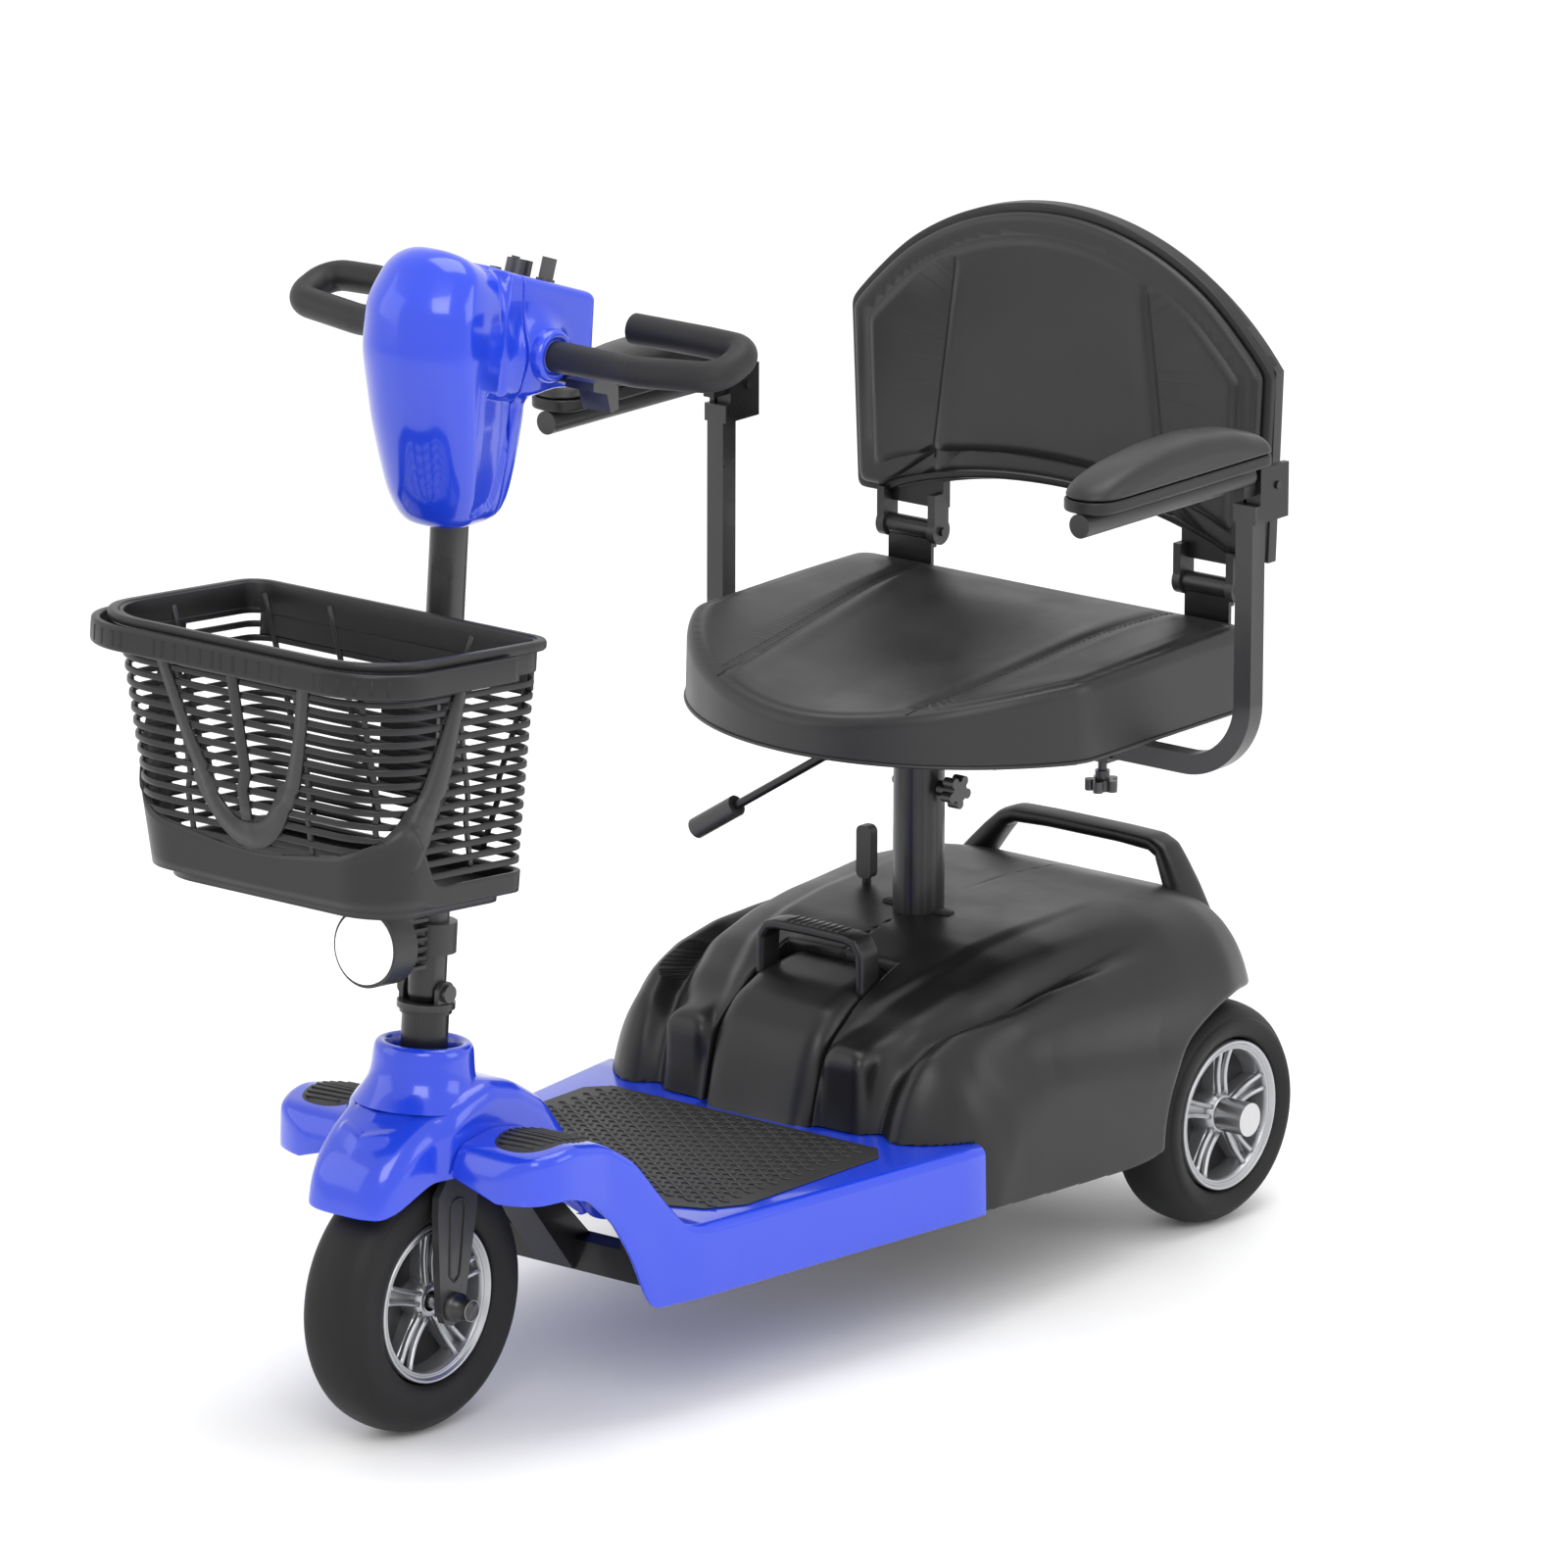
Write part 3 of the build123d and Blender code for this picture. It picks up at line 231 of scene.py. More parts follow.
def skin(shape, centre, half, n):
    """Mesh of the surface where shape(x, y, z) = 0, seen from centre, on a cube-shaped net of n x n faces.

    Returns vertices (an array) and quads. The solid must be visible from its centre in every direction.
    """
    t = np.tan(np.linspace(-math.pi / 4, math.pi / 4, n + 1))
    index = {}
    rows = []
    quads = []
    for axis in range(3):
        for sign in (-1, 1):
            ids = np.zeros((n + 1, n + 1), int)
            for i in range(n + 1):
                for j in range(n + 1):
                    p = [0.0, 0.0, 0.0]
                    p[axis] = sign
                    p[(axis + 1) % 3] = t[i]
                    p[(axis + 2) % 3] = t[j]
                    key = tuple(round(c, 6) for c in p)
                    if key not in index:
                        index[key] = len(rows)
                        rows.append(p)
                    ids[i, j] = index[key]
            for i in range(n):
                for j in range(n):
                    quad = (ids[i, j], ids[i + 1, j], ids[i + 1, j + 1], ids[i, j + 1])
                    quads.append(quad if sign > 0 else quad[::-1])
    rays = np.array(rows) * np.array(half)
    centre = np.array(centre, float)
    low, high = np.zeros(len(rays)), np.zeros(len(rays))
    steps = np.linspace(0, 1.6, 241)
    found = np.zeros(len(rays), bool)
    for a, b in zip(steps[:-1], steps[1:]):
        p = centre + rays * b
        outside = (shape(p[:, 0], p[:, 1], p[:, 2]) > 0) & ~found
        low[outside] = a
        high[outside] = b
        found |= outside
    for _ in range(18):
        mid = (low + high) / 2
        p = centre + rays * mid[:, None]
        out = shape(p[:, 0], p[:, 1], p[:, 2]) > 0
        high = np.where(out, mid, high)
        low = np.where(out, low, mid)
    return centre + rays * high[:, None], quads


def settle(verts, shape, chosen, axis, inside, outside):
    """Moves the chosen vertices along one axis onto the implicit surface between two levels."""
    low = np.full(int(chosen.sum()), float(inside))
    high = np.full(int(chosen.sum()), float(outside))
    p = [verts[chosen, 0].copy(), verts[chosen, 1].copy(), verts[chosen, 2].copy()]
    for _ in range(22):
        p[axis] = (low + high) / 2
        out = shape(*p) > 0
        high = np.where(out, p[axis], high)
        low = np.where(out, low, p[axis])
    verts[chosen, axis] = (low + high) / 2
    return verts


def lathe(profile, segments, place):
    """Turned mesh: profile of (radius, along), each point placed by place((across, up, along))."""
    verts = []
    for r, z in profile:
        for i in range(segments):
            a = 2 * math.pi * i / segments
            verts.append(place((r * math.cos(a), r * math.sin(a), z)))
    return verts, bands(len(profile), segments)


def wheel_place(x, y, z):
    """Local Z of a turned part laid along the row's X axis at a wheel's centre."""
    return lambda p: (x + p[2], y + p[0], z + p[1])


def sweep(points, section, closed=False):
    """Mesh of a closed section of (across, up) carried along 3-D points, with up near the given normals.

    points holds (position, outward) pairs; across runs along outward and up along the binormal.
    """
    verts = []
    count = len(points)
    for i, (pos, out) in enumerate(points):
        before = Vector(points[i - 1 if (i or closed) else 0][0])
        after = Vector(points[(i + 1) % count if (i < count - 1 or closed) else i][0])
        along = (after - before).normalized()
        out = Vector(out)
        out = (out - along * out.dot(along)).normalized()
        up = along.cross(out)
        for a, b in section:
            verts.append(tuple(Vector(pos) + out * a + up * b))
    m = len(section)
    faces = bands(count, m, closed)
    if not closed:
        faces.append(tuple(range(m))[::-1])
        faces.append(tuple((count - 1) * m + k for k in range(m)))
    return verts, faces


def merged(*meshes):
    """Several (vertices, faces) as one."""
    verts, faces = [], []
    for v, f in meshes:
        base = len(verts)
        verts += [tuple(p) for p in v]
        faces += [tuple(i + base for i in face) for face in f]
    return verts, faces


def cut_open(obj, drop):
    """Deletes the faces whose centre and normal drop(centre_mm, normal) picks, leaving a shell open there."""
    bm = bmesh.new()
    bm.from_mesh(obj.data)
    bm.normal_update()
    gone = [f for f in bm.faces if drop(f.calc_center_median() / MM, f.normal)]
    bmesh.ops.delete(bm, geom=gone, context="FACES")
    bm.to_mesh(obj.data)
    bm.free()


def tidy_normals(obj):
    """Makes every closed piece's faces look outward."""
    bm = bmesh.new()
    bm.from_mesh(obj.data)
    bmesh.ops.recalc_face_normals(bm, faces=bm.faces)
    bm.to_mesh(obj.data)
    bm.free()
    obj.data.shade_smooth()


def solid(name, mesh, slot, body, replaces=()):
    """An object of closed loops given as (vertices, faces), with its faces turned outward."""
    obj = to_object(name, *mesh, slot, body, replaces)
    tidy_normals(obj)
    return obj


def bands(rows, count, loop=False):
    """Quads between neighbouring rings of count vertices each, the last ring joined to the first if loop."""
    faces = []
    for k in range(rows if loop else rows - 1):
        n = (k + 1) % rows
        for i in range(count):
            j = (i + 1) % count
            faces.append((k * count + i, k * count + j, n * count + j, n * count + i))
    return faces


def prism(outline, low, high):
    """Closed upright prism over an anticlockwise outline of (x, y) points."""
    n = len(outline)
    verts = [(x, y, low) for x, y in outline] + [(x, y, high) for x, y in outline]
    return verts, bands(2, n) + [tuple(range(n))[::-1], tuple(range(n, 2 * n))]


def fill_in(points, steps):
    """The points with steps - 1 more evenly between each two."""
    fine = []
    for p, q in zip(points[:-1], points[1:]):
        fine += [tuple(a + (b - a) * k / steps for a, b in zip(p, q)) for k in range(steps)]
    return fine + [points[-1]]


def halve(outside, low, high):
    """The last value between low and high where outside(value) is still false."""
    for _ in range(26):
        mid = (low + high) / 2
        low, high = (low, mid) if outside(mid) else (mid, high)
    return low


def bulge(value, power):
    """value in -1..1 raised to a power with its sign kept: squares a circle's sine and cosine."""
    return math.copysign(abs(value) ** power, value)


def round_section(radius, count):
    """Circular section for sweep."""
    turns = [2 * math.pi * k / count for k in range(count)]
    return [(radius * math.cos(t), radius * math.sin(t)) for t in turns]


finish_cad_nodes()


# ---------------------------------------------------------------- rear body
BODY_TOP = line([(60, 120), (78, 168), (84, 200), (105, 235), (140, 262), (190, 283), (250, 296), (307, 301),
                 (430, 303), (500, 297), (540, 287), (575, 270), (597, 235), (602, 200), (606, 120)], 7)
BODY_FRONT = line([(0, 0), (55, 0), (62, 7), (112, 9), (125, 7), (165, 7), (190, 17), (206, 42), (214, 80)], 5)
BODY_DRIFT = line([(60, 0), (98, 0), (150, 17), (200, 37), (300, 45), (450, 50)], 12)
BODY_FLOW = line([(0, 0), (59, 0), (66, 5), (98, 5), (110, 9), (119, 19), (128, 12), (139, 1), (150, -3),
                  (175, 0), (240, 0)], 3)
BODY_FADE = line([(60, 1), (230, 1), (330, 0.55), (430, 0.0), (620, 0.0)], 15)
BODY_HALF = line([(60, 209), (400, 207), (500, 204), (550, 188), (585, 150), (604, 60)], 12)
BODY_UNDER = line([(60, 104), (134, 104), (356, 92), (400, 98), (470, 120), (560, 170), (600, 182), (620, 186)], 10)


def body_shape(x, y, z):
    """Implicit rear body, right and left alike."""
    ax = np.abs(x)
    fade = np.clip((330 - y) / 200, 0, 1)
    yy = y - BODY_FRONT(ax) * fade ** 1.5
    slope = (BODY_TOP(yy + 1) - BODY_TOP(yy - 1)) / 2
    top = (z - BODY_TOP(yy)) / np.sqrt(1 + slope ** 2)
    side = ax - BODY_HALF(y)
    body = smax(top, side, 105)
    flank = 7 * np.exp(-(((z - 205 + 0.12 * (y - 330)) / 20) ** 2))
    flank = flank * np.clip((ax - 150) / 40, 0, 1) * np.clip((470 - y) / 80, 0, 1)
    body = body + flank * np.clip((y - 150) / 90, 0, 1)
    body = body + BODY_FLOW(ax - BODY_DRIFT(y)) * BODY_FADE(y)
    pillar = smax(smax(np.abs(ax - 87) - 23, 88.5 - y, 12), z - 238 - 0.10 * (y - 90), 20)
    body = smin(body, np.maximum(pillar, y - 190), 14)
    body = smax(body, BODY_UNDER(y) - z, 4)
    body = smax(body, 134.0 - y - 400 * (z > 165.5), 2)
    arch = np.maximum(np.hypot(y - REAR_AXLE[0], z - REAR_AXLE[1]) - 113, 115 - ax)
    body = smax(body, -arch, 8)
    bay = np.maximum(ax - 60.3, y - 201)
    return smax(body, -bay, 3)


def rear_body():
    """Rear body shell, modelled as one half and mirrored."""
    verts, faces = skin(lambda x, y, z: np.maximum(body_shape(x, y, z), -x), (120, 330, 215), (150, 330, 160), NET)
    obj = to_object("rear_body_skin", verts, faces, "black_plastic", "chassis", ["rear_body_cover"])
    cut_open(obj, lambda c, n: c.x < 0.3 or (n.z < -0.6 and c.z < 190))
    mirror = modify(obj, "MIRROR", use_clip=True)
    mirror.merge_threshold = 0.001


# ---------------------------------------------------------------- steering head
HEAD_HALF = line([(650, 36), (672, 45), (705, 50), (740, 53), (800, 55), (840, 54), (875, 46), (900, 30)], 7)
HEAD_FRONT = line([(650, -36), (680, -54), (740, -72), (800, -86), (845, -84), (880, -64), (900, -40)], 7)
HEAD_BACK = line([(650, 38), (680, 48), (740, 53), (800, 55), (845, 54), (880, 40), (900, 20)], 7)
HEAD_SPLIT = 26.0


def head_shape(x, y, h):
    """Implicit control head with the console block, in the column frame."""
    front, back, half = HEAD_FRONT(h), HEAD_BACK(h), HEAD_HALF(h)
    ax = np.abs(x)
    shield = front + 27 * (ax / half) ** 2.3 - y
    behind = np.clip((y + 50) / 80, 0, 1)
    waist = half - 14 * behind * behind * (3 - 2 * behind)
    egg = smax(smax(shield, ax - waist, 13), y - back, 24)
    egg = smax(smax(egg, (h - 889 + 0.44 * (y + 42)) * 0.915, 26), 655 - h, 13)
    top = 860 - (y - 44) * 0.25
    slab = smax(smax(ax - 45, y - 122, 8), smax(h - top, 768 - 0.06 * (y - 30) - h, 8), 7)
    slab = smax(slab, 8 - y, 4)
    whole = smin(egg, slab, 12)
    boss = np.sqrt((y - GRIP_AXIS[0]) ** 2 + (h - GRIP_AXIS[1]) ** 2 + ((ax - 30) / 1.7) ** 2) - 22
    whole = smin(whole, boss, 26)
    wide = 18 + 0.10 * (h - 690)
    panel = smax(np.abs(y - 2 - 0.10 * (h - 720)) - wide, np.abs(h - 718) - 46 + 0.25 * (y - 5), 7)
    recess = smax(panel, waist - 3.0 - ax, 2.5)
    return smax(whole, -recess, 3.0)


def column_mesh(verts):
    """Column-frame vertices in the row frame."""
    return np.stack(column(verts.T), axis=1)


def across_column(side, y, h):
    """Place of a turned part whose axis runs sideways through (y, h) of the column frame."""
    return lambda p: column((side * p[2], y + p[0], h + p[1]))


def head():
    """Front and rear covers of the control head, split along a fine parting line."""
    n = NET * 2 // 3
    front = lambda x, y, h: smax(head_shape(x, y, h), y - HEAD_SPLIT + 0.5, 1.2)
    verts, faces = skin(front, (0, -16, 780), (55, 70, 120), n)
    to_object("head_front_skin", column_mesh(verts), faces, "blue_plastic", "tiller", ["head_front_cover"])
    collar = [(13.4, 46), (13.8, 60), (15.2, 63.4), (17.6, 64.6), (20.4, 63.6), (22.2, 60), (22.8, 54), (22.8, 44)]
    screw = [(0.01, 36), (2.6, 36.4), (3.2, 35), (3.2, 30)]
    for tag, side in SIDES:
        solid(f"head_collar_{tag}", lathe(collar, 40, across_column(side, *GRIP_AXIS)), "blue_plastic", "tiller")
        solid(f"head_screw_{tag}", lathe(screw, 16, across_column(side, 6, 762)), "knob_black", "tiller")
    rear = lambda x, y, h: smax(head_shape(x, y, h), HEAD_SPLIT + 0.5 - y, 1.2)
    verts, faces = skin(rear, (0, 60, 806), (55, 70, 110), n)
    to_object("head_rear_skin", column_mesh(verts), faces, "blue_plastic", "tiller", ["head_rear_cover"])


# ---------------------------------------------------------------- front shroud and deck
SHROUD_TOP = line([(-480, 190), (-468, 225), (-455, 250), (-430, 273), (-400, 290), (-372, 300), (-335, 303),
                   (-300, 294), (-262, 270), (-228, 226), (-206, 172), (-198, 140)], 6)
SHROUD_UNDER = line([(-480, 205), (-466, 205), (-445, 209), (-405, 228), (-372, 231), (-318, 228), (-290, 216),
                     (-264, 190), (-248, 168), (-236, 160), (-200, 158)], 6)
SHROUD_HALF = line([(-475, 32), (-462, 40), (-440, 46), (-400, 51), (-390, 58), (-380, 60), (-190, 60)], 4)


def shroud_shape(x, y, z):
    """Implicit nose and arch over the front wheel, with two shallow chevrons on the nose."""
    slope = (SHROUD_TOP(y + 1) - SHROUD_TOP(y - 1)) / 2
    crown = 13 * (np.abs(x) / 60) ** 2 * np.clip((-340 - y) / 60, 0, 1)
    top = (z + crown - SHROUD_TOP(y)) / np.sqrt(1 + slope ** 2)
    nose = smax(top, np.abs(x) - SHROUD_HALF(y), 20)
    nose = smax(nose, -467 - y, 14)
    lines, depth = 0.0, 2.6
    for k in range(2):
        v = y + 441 - 24 * k - 0.40 * np.abs(x)
        lines = lines + depth * np.exp(-(v / 5.0) ** 2) * np.clip((30 - np.abs(x)) / 6, 0, 1)
    nose = nose - lines * np.clip((z - 235) / 20, 0, 1)
    return smax(nose, SHROUD_UNDER(y) - z, 3)


def shroud():
    """Nose cover with its arch, and the round neck turned about the steering axis."""
    verts, faces = skin(shroud_shape, (0, -345, 262), (62, 140, 110), NET * 2 // 3)
    nose = to_object("shroud_skin", verts, faces, "blue_plastic", "chassis", ["front_shroud"])
    inner = lambda c: c.y > -450 and abs(c.x) < float(SHROUD_HALF(c.y)) - 9
    cut_open(nose, lambda c, n: n.z < -0.5 and c.z < 232 and inner(c))
    profile = [(58, 168), (51, 178), (46, 186), (43.5, 194), (42.6, 206), (42, 213), (40.5, 217.5), (37.5, 219.3),
               (34, 219), (31.5, 217), (30, 212), (29, 205), (29, 190)]
    verts, faces = lathe(profile, 72, column)
    neck = to_object("shroud_neck", verts, faces, "blue_plastic", "chassis")
    modify(neck, "SUBSURF", levels=1, render_levels=1)


DECK_GAP = 60.4                           # half width between the side arches
DECK_TOP = line([(-393, 246), (-384, 259), (-340, 265), (-300, 257), (-267, 236), (-238, 199), (-215, 172),
                 (-196, 165.5), (-170, 165), (133, 165)], 6)
DECK_UNDER = line([(-393, 219), (-351, 222), (-325, 214), (-296, 189), (-274, 152), (-258, 112), (-250, 104),
                   (133, 104)], 4)
DECK_HALF = line([(-393, 112), (-388, 128), (-378, 141), (-360, 149), (-345, 151), (-300, 151), (-240, 161),
                  (-200, 170), (133, 211)], 4)


def deck_section(y, inner):
    """Half section of the deck at y, from its inner edge over the rounded corner and down the skirt."""
    top, low, half = float(DECK_TOP(y)), float(DECK_UNDER(y)), float(DECK_HALF(y))
    near = max(0.0, min(1.0, (y + 392.5) / 14))
    round_in = 14 * (1 - math.sqrt(max(0.0, 1 - (1 - near) ** 2)))
    top, half = top - round_in, half - round_in * 0.8
    r = 9.0
    points = [(inner, top)]
    points += [(inner + (half - r - inner) * k / 5, top) for k in range(1, 6)]
    for k in range(1, 7):
        a = math.pi / 2 * k / 6
        points.append((half - r + r * math.sin(a), top - r + r * math.cos(a)))
    drop = max(top - r - low, 1.0)
    points += [(half + 1.2 * k / 4, top - r - drop * k / 4) for k in range(1, 5)]
    return points


def deck():
    """Deck shell: side arches with the foot lobes, and the middle of the floor behind the shroud."""
    meshes = []
    stations = [*np.linspace(-392.5, -378, 8), *np.linspace(-375, -190, 60), *np.linspace(-180, 132.9, 14)]
    for _, side in SIDES:
        rows = [[(side * x, y, z) for x, z in deck_section(y, DECK_GAP)] for y in stations]
        verts = [p for row in rows for p in row]
        m = len(rows[0])
        faces = []
        for i in range(len(rows) - 1):
            for k in range(m - 1):
                quad = (i * m + k, i * m + k + 1, (i + 1) * m + k + 1, (i + 1) * m + k)
                faces.append(quad if side > 0 else quad[::-1])
        base = len(verts)
        wall = [(side * DECK_GAP, y, max(float(DECK_UNDER(y)) + 2, float(DECK_TOP(y)) - 16))
                for y in stations if y < -196]
        verts += wall
        for i in range(len(wall) - 1):
            quad = (i * m, (i + 1) * m, base + i + 1, base + i)
            faces.append(quad if side > 0 else quad[::-1])
        cap = tuple(range(m)) + (base,)
        faces.append(cap[::-1] if side > 0 else cap)
        meshes.append((verts, faces))
    strip = [(DECK_GAP, -205, 165), (DECK_GAP, 79, 165), (-DECK_GAP, 79, 165), (-DECK_GAP, -205, 165)]
    meshes.append((strip, [(0, 1, 2, 3)]))
    verts, faces = merged(*meshes)
    obj = to_object("deck_skin", verts, faces, "blue_plastic", "chassis", ["deck_cover"])
    modify(obj, "SOLIDIFY", thickness=0.0035, offset=-1.0)
    modify(obj, "BEVEL", width=0.001, segments=2, limit_method="ANGLE", angle_limit=math.radians(50))


# ---------------------------------------------------------------- seat and backrest
SEAT_FRONT_R = 241.0


def seat_plan(x, y):
    """Distance outside the seat's plan: round front, straight sides and back."""
    arc = np.hypot(x, y - 126 - SEAT_FRONT_R) - SEAT_FRONT_R
    arc = np.where(y < 126 + SEAT_FRONT_R, arc, -60)
    return smax(smax(np.abs(x) - SEAT_HALF, y - 500, 14), arc, 5)


def seat_top(x, y):
    """Height of the seat's upper face: saddle dish, higher at the sides and the back."""
    rim = 512 + 36 * (np.abs(x) / SEAT_HALF) ** 1.6
    behind = np.clip((y - 140) / 300, 0, 1)
    rise = behind * behind * (3 - 2 * behind)
    dish = 9 * np.exp(-(x / 110) ** 2 - ((y - 330) / 95) ** 2)
    puff = 3.0 * np.clip(-seat_plan(x, y) / 30, 0, 1)
    return rim + (551 - rim) * rise - dish + puff


def groove(distance, width, depth):
    """Sewn groove beside a line: a narrow valley with slightly raised lips."""
    lips = np.exp(-((np.abs(distance) - 2.6 * width) / (1.6 * width)) ** 2)
    return depth * np.exp(-(distance / width) ** 2) - 0.28 * depth * lips


def seat_seam(y):
    """Half distance between the two lengthwise seams of the seat at y."""
    return 118 + 0.10 * (y - 300)


def seat_shape(x, y, z):
    """Implicit seat cushion."""
    edge = seat_plan(x, y)
    seam = groove(np.abs(x) - seat_seam(y), 5.5, 2.4) * np.clip((z - 500) / 8, 0, 1)
    seam = seam * np.clip((-edge - 10) / 16, 0, 1)
    lip = groove(edge + 12, 2.6, 1.5) * np.clip((z - 505) / 8, 0, 1)
    body = smax(edge + 0.02 * (z - 475), z - seat_top(x, y) + seam + lip, 13)
    return smax(body, 475.5 - z, 7)


def seat_cushion():
    """Seat pad with its welt, seams and stitches."""
    verts, faces = skin(seat_shape, (0, 315, 505), (217, 190, 60), NET * 3 // 2)
    upper = (verts[:, 2] > 500) & (seat_plan(verts[:, 0], verts[:, 1]) < -4)
    verts = settle(verts, seat_shape, upper, 2, 490, 620)
    pad = to_object("seat_pad", verts, faces, "vinyl", "seat", ["seat_cushion"])
    modify(pad, "SMOOTH", factor=0.5, iterations=3 if NET < 100 else 7)
    welt = []
    for k in range(240):
        cx, cy = math.cos(2 * math.pi * k / 240), math.sin(2 * math.pi * k / 240)
        reach = halve(lambda r: seat_plan(cx * r, 315 + cy * r) > 0, 0.0, 400.0)
        welt.append(((cx * reach, 315 + cy * reach, 478.5), (cx, cy, 0)))
    verts, faces = sweep(welt, round_section(1.6, 8), closed=True)
    to_object("seat_piping", verts, faces, "vinyl", "seat")
    for tag, side in SIDES:
        path = [(side * seat_seam(y), y, 530) for y in np.linspace(156, 486, 60)]
        seam_bead(f"seat_seam_{tag}", "seat", seat_shape, path, (0, 0, 1))
    stitch_row()


def stitch_row():
    """Short sewn stitches beside the seat's seams, where they are clear of its edge."""
    meshes = []
    length, clear, offset = 4.0, 16, 5.5
    places = [(side * (seat_seam(y) + offset), y) for side in (-1, 1) for y in np.arange(160, 484, 6.5)]
    for x, y in places:
        if seat_plan(x, y) > -clear:
            continue
        z0, z1 = float(seat_top(x, y)), float(seat_top(x, y + length))
        points = [(x, y, z0 - 0.5), (x, y + 1.3, (z0 * 2 + z1) / 3 + 0.35),
                  (x, y + 2.7, (z0 + 2 * z1) / 3 + 0.35), (x, y + length, z1 - 0.5)]
        meshes.append(sweep([(p, (0, 0, 1)) for p in points], round_section(0.3, 6)))
    to_object("seat_stitches", *merged(*meshes), "thread", "seat")


def back_seam(z):
    """Half distance between the two seams of the backrest at height z."""
    return 105 + (838 - z) * 0.134


def seam_bead(name, body, shape, path, push):
    """Dark sewn line lying on a cushion, found by stepping along `push` to the surface."""
    points = []
    for at in path:
        pushed = lambda reach: tuple(a + b * reach for a, b in zip(at, push))
        points.append((pushed(halve(lambda reach: shape(*pushed(reach)) > 0, -60.0, 60.0)), push))
    section = [(0.9 * a - 0.2, 1.1 * b) for a, b in round_section(1, 8)]
    solid(name, sweep(points, section), "thread", body)


def back_plan(x, z, inset):
    """Distance outside the backrest's front view."""
    ax = np.abs(x)
    arch = np.hypot(x, z - 603) - (289 - inset)
    sides = ax - (231 - inset) + 0.047 * (775 - z)
    sides = smax(sides, 0.70 * (ax - 231 + inset) + 0.71 * (z - 781 + inset * 0.4), 5)
    hollow = 606 + inset + 34 * np.clip(1 - (x / 190) ** 2, 0, 1) ** 0.8 - z
    return smax(smax(arch, sides, 5), hollow, 8)


def back_shell_shape(x, y, z):
    """Implicit back shell with a dished rear face."""
    inside = np.clip(-back_plan(x, z, 0) / 16, 0, 1)
    return smax(smax(back_plan(x, z, 0), y - 518.5 + 2.5 * inside, 5), 500.3 - y, 3)


def back_pad_shape(x, y, z):
    """Implicit backrest cushion: a raised rim lip round a flat middle with two seams."""
    edge = back_plan(x, z, 7)
    seam = groove(np.abs(x) - back_seam(z), 5.0, 2.2) * np.clip((842 - z) / 20, 0, 1)
    lip = 4.5 * np.clip((edge + 30) / 10, 0, 1) ** 2
    front = 486.7 + lip + seam
    return smax(smax(edge, front - y, 9), y - 500.2, 3)


def backrest():
    """Backrest cushion, its shell, and the two sewn seams down the cushion."""
    reach = (231, 30, 150)
    verts, faces = skin(back_shell_shape, (0, 509, 745), reach, NET * 3 // 4)
    to_object("back_shell", verts, faces, "black_plastic", "backrest")
    verts, faces = skin(back_pad_shape, (0, 494, 745), reach, NET * 3 // 2)
    facing = (verts[:, 1] < 495) & (back_plan(verts[:, 0], verts[:, 2], 7) < -3)
    verts = settle(verts, back_pad_shape, facing, 1, 498, 440)
    pad = to_object("back_pad", verts, faces, "vinyl", "backrest", ["backrest_cushion"])
    for tag, side in SIDES:
        path = [(side * back_seam(z), 494, z) for z in np.linspace(648, 834, 40)]
        seam_bead(f"back_seam_{tag}", "backrest", back_pad_shape, path, (0, -1, 0))


# ---------------------------------------------------------------- armrests
def arm_shape(part):
    """Implicit armrest: the upper pad, or the base it sits on, at x = 0."""
    crown = line([(140, 742), (150, 749), (168, 757), (200, 765), (250, 771), (300, 772), (350, 767),
                  (388, 756)], 8)

    def pad(x, y, z):
        width = 26.5 - 5 * np.clip((190 - y) / 45, 0, 1) ** 2
        cap = smax(np.abs(x) - width, 145.5 - y + 0.012 * x * x, 16)
        cap = smax(cap, y - 390, 8)
        body = smax(cap, z - crown(y) + 0.006 * x * x, 14)
        return smax(body, 741.2 - z, 3)

    def base(x, y, z):
        width = 25.5 - 5 * np.clip((190 - y) / 45, 0, 1) ** 2
        cap = smax(smax(np.abs(x) - width, 147 - y + 0.012 * x * x, 12), y - 389, 5)
        return smax(smax(cap, z - 740.4, 2.5), 729.3 - z, 3)

    return pad if part == "pad" else base


def armrests():
    """Padded tops and moulded bases of both armrests."""
    n = NET // 2
    for tag, side in SIDES:
        for part, slot, middle in (("pad", "vinyl", 755), ("base", "black_plastic", 735)):
            verts, faces = skin(arm_shape(part), (0, 268, middle), (27, 124, 14), n)
            verts = verts + np.array([side * ARM_X, 0, 0])
            stands_for = [f"armrest_pad_{tag}"] if part == "pad" else []
            piece = to_object(f"arm_{part}_{tag}", verts, faces, slot, f"armrest_{tag}", stands_for)


# ---------------------------------------------------------------- basket
BASKET_LOW, BASKET_RIM = 376.0, 590.0


